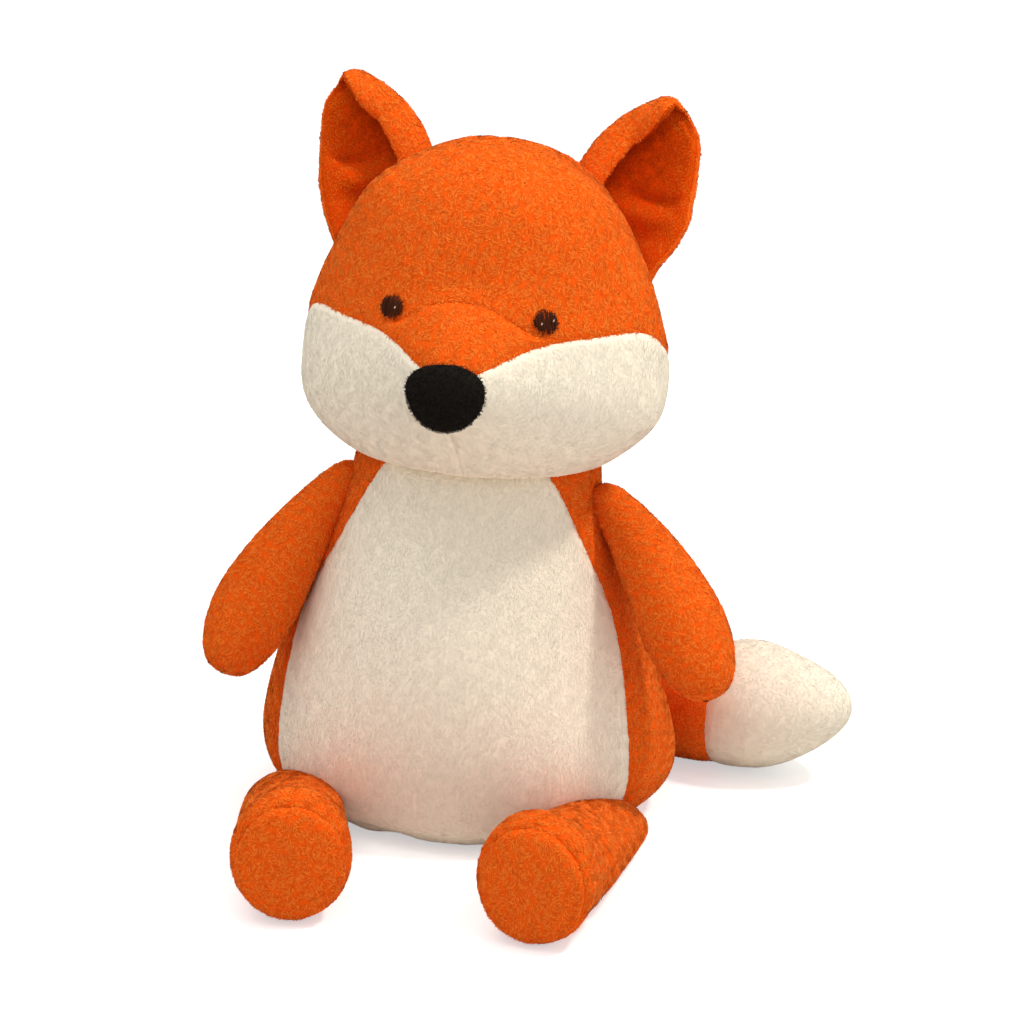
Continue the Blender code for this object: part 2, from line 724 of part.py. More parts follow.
def build():
    clear_scene()
    parts = collection("plush_fox")
    cutters = collection("cutters")
    orange = fabric("orange_pile", ORANGE, 0.95)
    cream = fabric("cream_pile", CREAM, 0.95)
    black = fabric("black_fleece", BLACK, 0.95)
    thread = fabric("brown_thread", THREAD, 0.6)
    wadding = fabric("wadding", WADDING, 1.0)

    head = head_form()
    torso = torso_form()
    above_neck = slab("above_neck", NECK_Z, True, cutters)
    below_head = slab("below_head", NECK_Z + SEAT_GAP, False, cutters)
    floor = slab("floor", 0, False, cutters)
    head_space = envelope(head, "head_space", cutters)
    torso_space = envelope(torso, "torso_space", cutters)

    head_items = []
    for panel in ("crown", "bridge", "back_left", "back_right", "cheek_left", "cheek_right"):
        colour = cream if panel.startswith("cheek") else orange
        name = panel if panel.startswith("cheek") else "head_" + panel
        head_items.append(cut(make_panel(head, panel, name + "_panel", colour, parts), below_head))
    head_items.append(cut(make_filling(head, "head_filling", wadding, parts), below_head))
    head_items.append(cut(make_nose("nose_pad", black, parts), head_space))
    for side, word in ((1, "left"), (-1, "right")):
        head_items.append(cut(make_eye(side, "eye_" + word, thread, parts), head_space))
        for face, way in (("front", 1), ("back", -1)):
            depths = (way * SEAM_GAP / 2, way * (SEAM_GAP / 2 + EAR_PANEL))
            ear = make_ear(side, depths, "ear_" + word + "_" + face, orange, parts)
            head_items.append(cut(ear, head_space))
    hang(head_items, "head_pivot", (0, HEAD_Y, NECK_Z), parts)

    for panel, colour in (("tummy", cream), ("back_left", orange), ("back_right", orange)):
        name = "tummy_panel" if panel == "tummy" else "torso_" + panel + "_panel"
        cut(make_panel(torso, panel, name, colour, parts), above_neck, floor)
    cut(make_filling(torso, "torso_filling", wadding, parts), above_neck)

    for side, word in ((1, "left"), (-1, "right")):
        arm = arm_form(side)
        items = [make_panel(arm, "front", "arm_" + word + "_front_panel", orange, parts)]
        items.append(make_panel(arm, "back", "arm_" + word + "_back_panel", orange, parts))
        items.append(make_filling(arm, "arm_" + word + "_filling", wadding, parts))
        for item in items:
            cut(item, torso_space)
        hang(items, "arm_" + word + "_pivot", arm_hinge(side), parts)

        leg = leg_form(side)
        items = [make_panel(leg, "tube", "leg_" + word + "_tube", orange, parts)]
        items.append(make_panel(leg, "foot", "foot_" + word + "_upper", orange, parts))
        items.append(make_panel(leg, "sole", "sole_" + word, orange, parts))
        items.append(make_filling(leg, "leg_" + word + "_filling", wadding, parts))
        for item in items:
            cut(item, torso_space, floor)
        hang(items, "leg_" + word + "_pivot", leg_hinge(side), parts)

    tail = tail_form()
    items = [cut(make_panel(tail, "base", "tail_base_panel", orange, parts), torso_space, floor)]
    items.append(cut(make_panel(tail, "tip", "tail_tip_panel", cream, parts), floor))
    items.append(cut(make_filling(tail, "tail_filling", wadding, parts), torso_space))
    hang(items, "tail_pivot", tail_line()[0], parts)


def arm_hinge(side):
    return on_side(Vector((ARM_SHOULDER.x, ARM_SHOULDER.y, NECK_Z - ARM_HINGE_DROP)), side)


def leg_hinge(side):
    return on_side(HIP, side)


build()
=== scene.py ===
# %% [markdown]
# # A sitting plush fox
# The toy is sewn from short pile fabric and stuffed with loose fibre. This file dresses the
# imported model: it loads the fixed frame, works out each stuffed form as a smooth surface,
# splits it along its sewn seams, and grows the pile on it as real strands.
#
# The frame comes first. Most new pieces are then parented to an empty named for their body.

import bpy
import numpy as np
from mathutils import Matrix, Vector


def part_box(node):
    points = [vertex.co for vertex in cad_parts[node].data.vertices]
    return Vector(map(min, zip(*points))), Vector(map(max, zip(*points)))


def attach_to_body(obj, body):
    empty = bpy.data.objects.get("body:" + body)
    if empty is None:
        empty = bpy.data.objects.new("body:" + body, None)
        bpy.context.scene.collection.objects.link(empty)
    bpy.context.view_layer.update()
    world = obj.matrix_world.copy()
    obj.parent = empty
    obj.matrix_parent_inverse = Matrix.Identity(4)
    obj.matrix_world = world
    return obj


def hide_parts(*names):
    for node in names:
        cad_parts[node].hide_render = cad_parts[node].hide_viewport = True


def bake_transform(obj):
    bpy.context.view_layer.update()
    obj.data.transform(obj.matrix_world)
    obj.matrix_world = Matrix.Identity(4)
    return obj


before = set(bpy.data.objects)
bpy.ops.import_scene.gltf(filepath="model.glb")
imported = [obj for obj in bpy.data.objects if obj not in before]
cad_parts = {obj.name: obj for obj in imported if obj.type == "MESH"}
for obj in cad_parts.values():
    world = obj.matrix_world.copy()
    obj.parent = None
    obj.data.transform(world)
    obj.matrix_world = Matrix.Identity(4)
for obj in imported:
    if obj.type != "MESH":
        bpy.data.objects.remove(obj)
for name in ("Cube", "Light", "Camera"):
    spare = bpy.data.objects.get(name)
    if spare:
        bpy.data.objects.remove(spare, do_unlink=True)
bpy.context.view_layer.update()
MM = 0.001

# %% [markdown]
# ## Helpers for smooth closed forms
# A stuffed form can be drawn as a few rings of points with a pole at each end. A cubic
# spline through them gives a surface with no corners, which is how tight fabric lies over
# filling. The spline is a fixed set of weights, so the whole surface is one matrix product.

# %% Spline weights


def loop_weights(count, steps):
    """Weights that carry `count` points of a closed loop to count * steps points.

    The curve is a uniform cubic B-spline. Its controls c solve
    (c[i-1] + 4 c[i] + c[i+1]) / 6 = point[i], so it passes through every point.
    """
    ring = np.arange(count)
    fit = np.zeros((count, count))
    fit[ring, ring] += 4 / 6
    fit[ring, ring - 1] += 1 / 6
    fit[ring - 1, ring] += 1 / 6
    place = np.arange(count * steps) / steps
    cell = place.astype(int)
    t = place - cell
    row = np.arange(count * steps)
    blend = np.zeros((count * steps, count))
    blend[row, (cell - 1) % count] += (1 - t) ** 3 / 6
    blend[row, cell] += (3 * t**3 - 6 * t**2 + 4) / 6
    blend[row, (cell + 1) % count] += (-3 * t**3 + 3 * t**2 + 3 * t + 1) / 6
    blend[row, (cell + 2) % count] += t**3 / 6
    return blend @ np.linalg.inv(fit)


# %% Surface through rings


def stuffed_surface(rings, first, last, steps):
    """A closed surface through rings[r, c] and two poles, as a grid of points.

    A meridian runs from the first pole down column c, through the last pole and back up
    the column opposite, so it is a closed loop, and the surface is smooth at both poles.
    """
    rows, columns = rings.shape[:2]
    half = columns // 2
    top = np.broadcast_to(first, (1, half, 3))
    low = np.broadcast_to(last, (1, half, 3))
    loops = np.concatenate([top, rings[:, :half], low, rings[::-1, half:]])
    down = np.einsum("fk,kcx->fcx", loop_weights(2 * rows + 2, steps), loops)
    turn = steps * (rows + 1)
    near = down[: turn + 1]
    far = np.concatenate([down[turn:], down[:1]])[::-1]
    lines = np.concatenate([near, far], axis=1)
    return np.einsum("fk,rkx->rfx", loop_weights(columns, steps), lines)


# %% Grid to faces


def grid_faces(rows, columns):
    """Four corners for each face of a grid closed round its columns, with one vertex a pole.

    Vertex 0 is the first pole, the last vertex is the last pole, and the rows between them
    follow in order. At a pole a face has one corner twice.
    """
    inner = 1 + np.arange((rows - 2) * columns).reshape(rows - 2, columns)
    first = np.zeros((1, columns), int)
    last = np.full((1, columns), 1 + (rows - 2) * columns)
    index = np.concatenate([first, inner, last])
    across = np.roll(index, -1, axis=1)
    return np.stack([index[:-1], index[1:], across[1:], across[:-1]], axis=-1).reshape(-1, 4)


def grid_points(grid):
    """The points of such a grid as one list, each pole once."""
    return np.concatenate([grid[0, :1], grid[1:-1].reshape(-1, 3), grid[-1, :1]])


# %% Normals


UP = np.array([0, 0, 1.0])


def unit(vectors):
    """Each vector divided by its length."""
    return vectors / np.maximum(np.linalg.norm(vectors, axis=-1, keepdims=True), 1e-12)


def point_normals(points, faces):
    """The sum of the face normals round each point: half the cross product of the diagonals."""
    a, b, c, d = (points[faces[:, k]] for k in range(4))
    flat = np.cross(c - a, d - b) / 2
    total = np.zeros_like(points)
    for k in range(4):
        np.add.at(total, faces[:, k], flat)
    return unit(total)


def facing_out(points, faces):
    """The faces, turned over where the closed form they make would have a negative volume."""
    a, b, c, d = (points[faces[:, k]] for k in range(4))
    middle = (a + b + c + d) / 4
    if np.sum(middle * np.cross(c - a, d - b)) < 0:
        return faces[:, ::-1]
    return faces


# %% [markdown]
# ## Meshes and soft noise
# `foreach_set` copies whole arrays into a mesh at once, so a hundred thousand strands take
# a fraction of a second. The noise is a sum of a few sine waves in space: it is smooth, it
# never repeats visibly at this size, and it gives the same result on each run.

# %% Array to mesh


def make_mesh(name, points, triangles, quads, material):
    """An object from arrays of points, triangles and quads, smooth shaded."""
    mesh = bpy.data.meshes.new(name)
    corners = np.concatenate([triangles.ravel(), quads.ravel()]).astype(np.int32)
    sizes = np.concatenate([np.full(len(triangles), 3), np.full(len(quads), 4)])
    starts = np.concatenate([[0], np.cumsum(sizes)[:-1]]).astype(np.int32)
    mesh.vertices.add(len(points))
    mesh.loops.add(len(corners))
    mesh.polygons.add(len(sizes))
    mesh.vertices.foreach_set("co", points.astype(np.float32).ravel())
    mesh.loops.foreach_set("vertex_index", corners)
    mesh.polygons.foreach_set("loop_start", starts)
    mesh.update(calc_edges=True)
    mesh.validate()
    mesh.shade_smooth()
    mesh.materials.append(material)
    made = bpy.data.objects.new(name, mesh)
    bpy.context.scene.collection.objects.link(made)
    return made


# %% Waves in space


def waves(points, size, seed, count=7):
    """Three smooth values between about -1 and 1 at each point, from sums of sine waves.

    Each wave is sin(k . p + phase), with |k| near 2 pi / size and a seeded direction.
    """
    chance = np.random.default_rng(seed)
    total = np.zeros((len(points), 3))
    for axis in range(3):
        k = unit(chance.normal(size=(count, 3))) * 2 * np.pi / size
        k *= chance.uniform(0.6, 1.5, (count, 1))
        phase = chance.uniform(0, 2 * np.pi, count)
        total[:, axis] = np.sin(points @ k.T + phase).sum(axis=1) / np.sqrt(count)
    return total


# %% [markdown]
# ## Materials
# The pile has three things that the eye reads as plush. Its roots are darker than its tips,
# which is painted shade deep in the pile, neighbouring tufts differ a little, and at a grazing
# angle the tips catch more light. The first two are colours worked out by a node group that
# every pile shares. The last is the sheen of the Principled shader, set in each material.

# %% Shared node groups


def new_group(name, inputs, outputs):
    """An empty node group with named sockets; inputs are (name, type, default)."""
    group = bpy.data.node_groups.new(name, "ShaderNodeTree")
    for label, kind, value in inputs:
        socket = group.interface.new_socket(label, in_out="INPUT", socket_type=kind)
        socket.default_value = value
    for label, kind in outputs:
        group.interface.new_socket(label, in_out="OUTPUT", socket_type=kind)
    return group, group.nodes.new("NodeGroupInput"), group.nodes.new("NodeGroupOutput")


def mix_colours(tree, factor, first, second):
    """A Mix node between two colour sockets."""
    node = tree.nodes.new("ShaderNodeMix")
    node.data_type = "RGBA"
    tree.links.new(factor, node.inputs["Factor"])
    tree.links.new(first, node.inputs["A"])
    tree.links.new(second, node.inputs["B"])
    return node.outputs["Result"]


def number(tree, operation, first, second):
    """A Math node; each input is a socket or a number."""
    node = tree.nodes.new("ShaderNodeMath")
    node.operation = operation
    for socket, value in zip(node.inputs, (first, second)):
        if isinstance(value, (int, float)):
            socket.default_value = value
        else:
            tree.links.new(value, socket)
    return node.outputs[0]


def centred(tree, value, factor):
    """A value between 0 and 1, less a half, times a factor."""
    return number(tree, "MULTIPLY", number(tree, "SUBTRACT", value, 0.5), factor)


def noise(tree, size, detail):
    """Noise on Object coordinates with blotches of about `size` metres, from 0 to 1."""
    place = tree.nodes.new("ShaderNodeTexCoord")
    node = tree.nodes.new("ShaderNodeTexNoise")
    node.inputs["Scale"].default_value = 1 / size
    node.inputs["Detail"].default_value = detail
    tree.links.new(place.outputs["Object"], node.inputs["Vector"])
    return node.outputs["Fac"]


# %% The pile's colour

PATCH_SIZE = 5 * MM
PATCH_DETAIL = 3
PATCH_STRENGTH = 0.35
SHADE_SPREAD = 0.9
COLOUR = "NodeSocketColor"
VALUE = "NodeSocketFloat"


def build_pile_tint():
    """Root to tip colour along a strand, the darker root being painted shade, shifted by the
    strand's own random shade and by patches.
    """
    inputs = [("Root", COLOUR, (0, 0, 0, 1)), ("Tip", COLOUR, (1, 1, 1, 1))]
    inputs += [("Along", VALUE, 1), ("Shade", VALUE, 0.5), ("Spread", VALUE, SHADE_SPREAD)]
    group, given, out = new_group("pile_tint", inputs, [("Colour", COLOUR)])
    patch = centred(group, noise(group, PATCH_SIZE, PATCH_DETAIL), PATCH_STRENGTH)
    own = centred(group, given.outputs["Shade"], given.outputs["Spread"])
    place = number(group, "ADD", given.outputs["Along"], number(group, "ADD", patch, own))
    place.node.use_clamp = True
    result = mix_colours(group, place, given.outputs["Root"], given.outputs["Tip"])
    group.links.new(result, out.inputs["Colour"])
    return group


pile_tint = build_pile_tint()
print("node group:", pile_tint.name)

# %% Pile and skin materials


SHEEN_ROUGHNESS = 0.5
GROUND_ROUGHNESS = 0.95
GROUND_GRAIN = 0.8 * MM
KNIT_SIZE = 0.9 * MM
KNIT_HEIGHT = 0.3 * MM
KNIT_STRENGTH = 0.3


def tinted(name, root, tip, roughness):
    """A material without gloss, coloured by the shared group: itself, its shader and tint."""
    made = bpy.data.materials.new(name)
    made.use_nodes = True
    shader = made.node_tree.nodes["Principled BSDF"]
    shader.inputs["Roughness"].default_value = roughness
    shader.inputs["Specular IOR Level"].default_value = 0.0
    tint = made.node_tree.nodes.new("ShaderNodeGroup")
    tint.node_tree = pile_tint
    tint.inputs["Root"].default_value = (*root, 1)
    tint.inputs["Tip"].default_value = (*tip, 1)
    made.node_tree.links.new(tint.outputs["Colour"], shader.inputs["Base Color"])
    return made, shader, tint


def pile_material(name, root, tip, roughness, sheen, sheen_tint, spread=SHADE_SPREAD):
    """The strands of one fabric; `spread` is how much their shades differ."""
    made, shader, tint = tinted(name, root, tip, roughness)
    tree = made.node_tree
    for label, socket in (("along", "Along"), ("shade", "Shade")):
        stored = tree.nodes.new("ShaderNodeAttribute")
        stored.attribute_name = label
        tree.links.new(stored.outputs["Fac"], tint.inputs[socket])
    tint.inputs["Spread"].default_value = spread
    shader.inputs["Sheen Weight"].default_value = sheen
    shader.inputs["Sheen Roughness"].default_value = SHEEN_ROUGHNESS
    shader.inputs["Sheen Tint"].default_value = (*sheen_tint, 1)
    return made


def skin_material(name, root, ground):
    """The knitted ground that the strands stand on, mixed from two colours, with a fine bump."""
    made, shader, tint = tinted(name, root, ground, GROUND_ROUGHNESS)
    tree = made.node_tree
    tint.inputs["Along"].default_value = 0.5
    tree.links.new(noise(tree, GROUND_GRAIN, 2), tint.inputs["Shade"])
    bump = tree.nodes.new("ShaderNodeBump")
    bump.inputs["Distance"].default_value = KNIT_HEIGHT
    bump.inputs["Strength"].default_value = KNIT_STRENGTH
    tree.links.new(noise(tree, KNIT_SIZE, 3), bump.inputs["Height"])
    tree.links.new(bump.outputs["Normal"], shader.inputs["Normal"])
    return made


# Each root colour is darker than its tip: painted shade deep in the pile.
ORANGE_GROUND = (0.90, 0.125, 0.009)
ORANGE_ROOT = (0.76, 0.065, 0.002)
ORANGE_TIP = (0.96, 0.195, 0.022)
# The ear's lining is the orange pile painted darker: painted shade in the ear's hollow.
LINING_PAINTED_SHADE_ROOT = (0.42, 0.027, 0.001)
LINING_PAINTED_SHADE_TIP = (0.88, 0.150, 0.011)
CREAM_ROOT = (0.91, 0.80, 0.615)
CREAM_TIP = (0.95, 0.855, 0.69)
BLACK_ROOT = (0.003, 0.0025, 0.002)
BLACK_TIP = (0.020, 0.016, 0.013)

GOLD = (1.0, 0.50, 0.16)
RUST = (1.0, 0.30, 0.05)
THREAD_ROOT = (0.016, 0.005, 0.0025)
THREAD_TIP = (0.065, 0.018, 0.009)
# Pale thread for the eyes' glints: a painted highlight.
GLINT_ROOT = (0.55, 0.33, 0.20)
GLINT_TIP = (0.85, 0.62, 0.45)
orange_pile = pile_material("orange_pile", ORANGE_ROOT, ORANGE_TIP, 0.8, 0.2, GOLD, 1.3)
orange_skin = skin_material("orange_ground", ORANGE_ROOT, ORANGE_GROUND)
# The lining's pile and ground are darker copies of the orange: painted shade.
lining_pile_painted_shade = pile_material("lining_pile_painted_shade", LINING_PAINTED_SHADE_ROOT, LINING_PAINTED_SHADE_TIP, 0.85, 0.4, RUST, 0.5)
lining_skin_painted_shade = skin_material("lining_ground_painted_shade", LINING_PAINTED_SHADE_ROOT, ORANGE_ROOT)
cream_pile = pile_material("cream_pile", CREAM_ROOT, CREAM_TIP, 0.85, 0.1, (1.0, 0.97, 0.92), 0.5)
cream_skin = skin_material("cream_ground", CREAM_ROOT, CREAM_TIP)
black_pile = pile_material("black_fleece", BLACK_ROOT, BLACK_TIP, 0.8, 0.05, (0.5, 0.47, 0.45))
black_skin = skin_material("black_ground", BLACK_ROOT, BLACK_TIP)
thread = pile_material("brown_thread", THREAD_ROOT, THREAD_TIP, 0.55, 0.1, (0.6, 0.4, 0.3))
glint_highlight_thread = pile_material("painted_glint_thread", GLINT_ROOT, GLINT_TIP, 0.5, 0.1, (1.0, 0.9, 0.8))
print("materials:", len(bpy.data.materials))

# %% [markdown]
# ## Pile
# Real plush pile could be a particle hair system, but strands made as a mesh need no
# special renderer and export as they are. Each strand is a blade of four triangles with
# four corners: a root, two sides raised at its middle, and a tip. It is closed, and its
# normals are near the skin's, so a panel is lit as one soft surface. Its direction is the
# nap of the cloth, swirled by smooth waves, so that neighbours lean together in small tufts
# as brushed pile does.

# %% Roots spread evenly

MOST_STRANDS = 49000
EVEN_STEPS = (0.7548776662, 0.5698402910)


def spread(points, faces, cover, density):
    """Roots spread evenly by area: for each, its face's corners and four weights.

    cover is the share of the full density at each point. Root i sits where the running sum
    of the face areas passes (i + 0.5) / count of the whole. Inside its face it takes the
    next of a row of points that fill a square evenly.
    """
    a, b, c, d = (points[faces[:, k]] for k in range(4))
    area = np.linalg.norm(np.cross(c - a, d - b), axis=1) / 2 * cover[faces].mean(axis=1)
    running = np.cumsum(area)
    count = int(running[-1] * density / MM**2)
    step = np.arange(count)
    face = np.searchsorted(running, (step + 0.5) / count * running[-1])
    u, v = ((0.5 + even * step) % 1 for even in EVEN_STEPS)
    weights = np.stack([(1 - u) * (1 - v), u * (1 - v), u * v, (1 - u) * v], axis=1)
    return faces[face], weights


def weighted(values, corners, weights):
    """Values at the roots from the values at their four corners."""
    return np.einsum("nk,nkx->nx", weights, values[corners])


# %% Blades from roots

LOOSE = 0.35
LENGTHS = (0.75, 1.2)
LIFTS = (0.5, 1.5)
BLADE_MIDDLE = (0.27, 0.36)
BLADE_TIP = (0.52, 0.86)
LEAST_HEIGHT = 0.1 * MM


def combed(roots, normals, nap, swirl, swirl_size, seed):
    """The way each strand leans: nap + swirl * waves + chance, laid flat on the skin."""
    loose = np.random.default_rng(seed).normal(0, LOOSE, (len(roots), 3))
    way = np.asarray(nap) + swirl * waves(roots, swirl_size, seed + 1) + loose
    return unit(way - normals * np.sum(way * normals, axis=1, keepdims=True))


def blades(roots, normals, ways, growth, length, width, lift, tilt, seed):
    """Four corners for each strand, as (count, 4, 3), and one normal for each strand.

    The tip stands at root + length * (up * lift * normal + ahead * way), with up and ahead
    from BLADE_TIP. The sides do so with BLADE_MIDDLE, half a width to either hand. A blade
    is almost flat, so its dark underside stays out of sight. Length and lift vary by
    chance. The normal is the skin's, leaning by about `tilt` along the strand and at random.
    """
    chance = np.random.default_rng(seed)
    count = len(roots)
    long = length * growth * chance.uniform(*LENGTHS, (count, 1))
    side = unit(np.cross(ways, normals)) * width / 2
    lift = lift * chance.uniform(*LIFTS, (count, 1))
    middle, tip = (
        roots + long * (up * lift * normals + ahead * ways)
        for up, ahead in (BLADE_MIDDLE, BLADE_TIP)
    )
    corners = np.stack([roots, middle - side, middle + side, tip], axis=1)
    corners[:, :, 2] = np.maximum(corners[:, :, 2], LEAST_HEIGHT)
    own = unit(normals + 0.6 * tilt * ways + chance.normal(0, tilt, (count, 3)))
    return corners, own


# %% Strands to object

BLADE = np.array([(0, 2, 1), (1, 2, 3), (0, 1, 3), (0, 3, 2)])
BLADE_ALONG = (0.0, 0.65, 0.65, 1.0)
BLADE_MAP = np.array([(0.5, 0.05), (0.05, 0.6), (0.95, 0.6), (0.5, 0.95)])
NO_FACES = np.zeros((0, 4), int)


def store(piece, label, values):
    """Keeps one value for each point of a mesh under a name that its material reads."""
    layer = piece.data.attributes.new(label, "FLOAT", "POINT")
    layer.data.foreach_set("value", values.astype(np.float32).ravel())


def strand_map(piece, count):
    """A UV map in which each strand has a square cell, its root low and its tip high."""
    side = int(np.ceil(np.sqrt(count)))
    cell = np.stack([np.arange(count) % side, np.arange(count) // side], axis=1)[:, None]
    layer = piece.data.uv_layers.new(name="OFBake")
    spots = (cell + BLADE_MAP[BLADE.ravel()]) / side
    layer.data.foreach_set("uv", spots.astype(np.float32).ravel())


def blade_piece(name, corners, own, material, seed, hollow_shade=0.0):
    """One object from a block of strands; the last argument moves a strand's colour towards its
    darker root, as painted shade.
    """
    count = len(corners)
    triangles = (4 * np.arange(count)[:, None, None] + BLADE).reshape(-1, 3)
    piece = make_mesh(name, corners.reshape(-1, 3), triangles, NO_FACES, material)
    piece.data.normals_split_custom_set_from_vertices(np.repeat(own, 4, axis=0).tolist())
    # The painted shade pulls the colour along the strand towards the root.
    store(piece, "along", np.tile(BLADE_ALONG, (count, 1)) - np.reshape(hollow_shade, (-1, 1)))
    store(piece, "shade", np.repeat(np.random.default_rng(seed).uniform(0, 1, count), 4))
    strand_map(piece, count)
    return piece


def grow_pile(name, skin, faces, density, look, seed, material, bare=()):
    """The pile of one panel in one or more objects; density is in strands a square millimetre.

    No strand grows within `radius` of a centre in `bare`, where something is sewn on.
    """
    corners, weights = spread(skin.points, faces, skin.cover(), density)
    roots = weighted(skin.points, corners, weights)
    up = unit(weighted(skin.normals, corners, weights))
    # Painted shade at each root, from its skin; only the ears' hollows have any.
    growth, hollow_shade = weighted(np.stack([skin.growth, skin.hollow_shade], axis=1), corners, weights).T
    keep = np.ones(len(roots), bool)
    for centre, radius in bare:
        keep &= np.linalg.norm(roots - centre, axis=1) > radius
    roots, up, growth, hollow_shade = roots[keep], up[keep], growth[keep, None], hollow_shade[keep]
    comb, shape = look
    ways = combed(roots, up, seed=seed, **comb)
    blade, own = blades(roots, up, ways, growth, seed=seed + 2, **shape)
    parts = int(np.ceil(len(roots) / MOST_STRANDS))
    pieces = []
    for part, block in enumerate(np.array_split(np.arange(len(roots)), parts)):
        label = name if parts == 1 else f"{name}_{part + 1}"
        look_of = blade[block], own[block], material, seed + 3 + part, hollow_shade[block]
        pieces.append(blade_piece(label, *look_of))
    print(f"{name}: {len(roots)} strands in {parts}")
    return pieces


# %% [markdown]
# ## Panels
# Every panel is cut out of its form as a sheet, and the sheet gets an inside 1.2 mm below
# its outside and a rim between them, so it is a closed piece of cloth. The pile grows on
# the outside only.

# %% Sheet to closed cloth

CLOTH = 1.2 * MM


def cloth_shell(name, points, normals, faces, material):
    """A closed piece: outside, inside at a cloth's thickness, and a rim along the open edges.

    An edge is open where only one face uses it, in either direction.
    """
    used, local = np.unique(faces, return_inverse=True)
    faces = local.reshape(faces.shape)
    outside = points[used]
    inside = outside - normals[used] * CLOTH
    count = len(used)
    edges = np.concatenate([faces[:, [k, (k + 1) % 4]] for k in range(4)])
    edges = edges[edges[:, 0] != edges[:, 1]]
    key = np.sort(edges, axis=1) @ [count, 1]
    values, where, times = np.unique(key, return_index=True, return_counts=True)
    open_edges = edges[where[times == 1]]
    rim = np.column_stack([open_edges[:, ::-1], open_edges + count])
    every = np.concatenate([faces, faces[:, ::-1] + count, rim])
    triangles, quads = split_faces(every)
    return make_mesh(name, np.concatenate([outside, inside]), triangles, quads, material)


def split_faces(faces):
    """Faces with a doubled corner as triangles, and the rest as quads."""
    following = np.roll(faces, -1, axis=1)
    double = faces == following
    thin = double.any(axis=1)
    keep = ~double[thin]
    triangles = faces[thin][keep].reshape(-1, 3)
    return triangles, faces[~thin]


# %% Seams

SEAM_STEPS = np.array([0.0, 0.25, 0.5, 0.75])
FAR = 1.0
BLOCK = 500


def seam_points(grid, panels):
    """Points along every edge where two panels of a form meet.

    panels[i, j] is the panel of the face below row i, beside column j.
    """
    across = np.roll(grid, -1, axis=1)
    level = panels[:-1] != panels[1:]
    upright = panels != np.roll(panels, 1, axis=1)
    starts = np.concatenate([grid[1:-1][level], grid[:-1][upright]])
    ends = np.concatenate([across[1:-1][level], grid[1:][upright]])
    steps = SEAM_STEPS[:, None, None]
    return (starts * (1 - steps) + ends * steps).reshape(-1, 3)


def nearest(points, others):
    """The distance from each point to the nearest of the others, in blocks to save memory."""
    if len(others) == 0:
        return np.full(len(points), FAR)
    blocks = []
    for block in np.array_split(points, max(1, len(points) // BLOCK)):
        square = (block**2).sum(1)[:, None] + (others**2).sum(1) - 2 * block @ others.T
        blocks.append(np.sqrt(np.maximum(square.min(axis=1), 0)))
    return np.concatenate(blocks)


# %% [markdown]
# ## Stuffing as cloth under pressure
# Filling pushes the cloth out while the stitches hold the seams in, so every panel swells
# between its seams. Blender's Cloth does just that: the seams are pinned, gravity is off
# and a pressure works from inside. Only the movement along the normal is kept, less its
# middle value and within a cap, so the form keeps its size. The result becomes the rings
# of a finer surface, and no Cloth is left on any piece.

# %% Cloth under pressure

SWELL_FRAMES = 20
PRESSURE = 45.0
STRETCH = 4.0
BENDING = 0.05
CLOTH_MASS = 0.1
CLOTH_QUALITY = 5


def at_seam(panels):
    """Which points of a closed grid touch more than one panel; panels is given for each face."""
    before = np.roll(panels, 1, axis=1)
    inner = (panels[1:] != panels[:-1]) | (before[1:] != before[:-1]) | (panels[1:] != before[1:])
    inner |= panels[:-1] != before[:-1]
    first = [len(set(panels[0])) > 1]
    last = [len(set(panels[-1])) > 1]
    return np.concatenate([first, inner.ravel(), last])


def stuffed(points, faces, held, cap):
    """Points moved along their normals by the cloth's swell, within cap, and each one's move."""
    triangles, quads = split_faces(faces)
    trial = make_mesh("cloth_trial", points, triangles, quads, orange_skin)
    pins = trial.vertex_groups.new(name="seams")
    pins.add(np.flatnonzero(held).tolist(), 1.0, "REPLACE")
    cloth = trial.modifiers.new("cloth", "CLOTH")
    cloth.collision_settings.use_collision = False
    settings = cloth.settings
    settings.quality = CLOTH_QUALITY
    settings.vertex_group_mass = "seams"
    settings.mass = CLOTH_MASS
    settings.tension_stiffness = STRETCH
    settings.compression_stiffness = STRETCH
    settings.shear_stiffness = STRETCH / 2
    settings.bending_stiffness = BENDING
    settings.use_pressure = True
    settings.uniform_pressure_force = PRESSURE
    settings.effector_weights.gravity = 0
    for frame_number in range(1, SWELL_FRAMES + 1):
        bpy.context.scene.frame_set(frame_number)
    seen = trial.evaluated_get(bpy.context.evaluated_depsgraph_get())
    moved = np.empty(3 * len(points), np.float32)
    seen.data.vertices.foreach_get("co", moved)
    bpy.data.objects.remove(trial, do_unlink=True)
    bpy.context.scene.frame_set(1)
    normals = point_normals(points, faces)
    out = np.sum((moved.reshape(-1, 3) - points) * normals, axis=1)
    out = np.clip(out - np.median(out), -cap, cap)
    return points + normals * out[:, None], out


# %% A stuffed form with its seams

INSET = 1.5 * MM
CLOTH_STEPS = 4
FINE_STEPS = 2
SEAM_WIDTH = 2.2 * MM
PUCKER_SIZE = 7 * MM
PUCKER_STRENGTH = 0.35
SHORT_AT_SEAM = 0.4
LUMP = 0.5 * MM
LUMP_SIZE = 60 * MM
FLOOR_NEAR = 4 * MM
NECK_NEAR = 7 * MM
FACING_DOWN = 0.7
PRESSED_COVER = 0.3


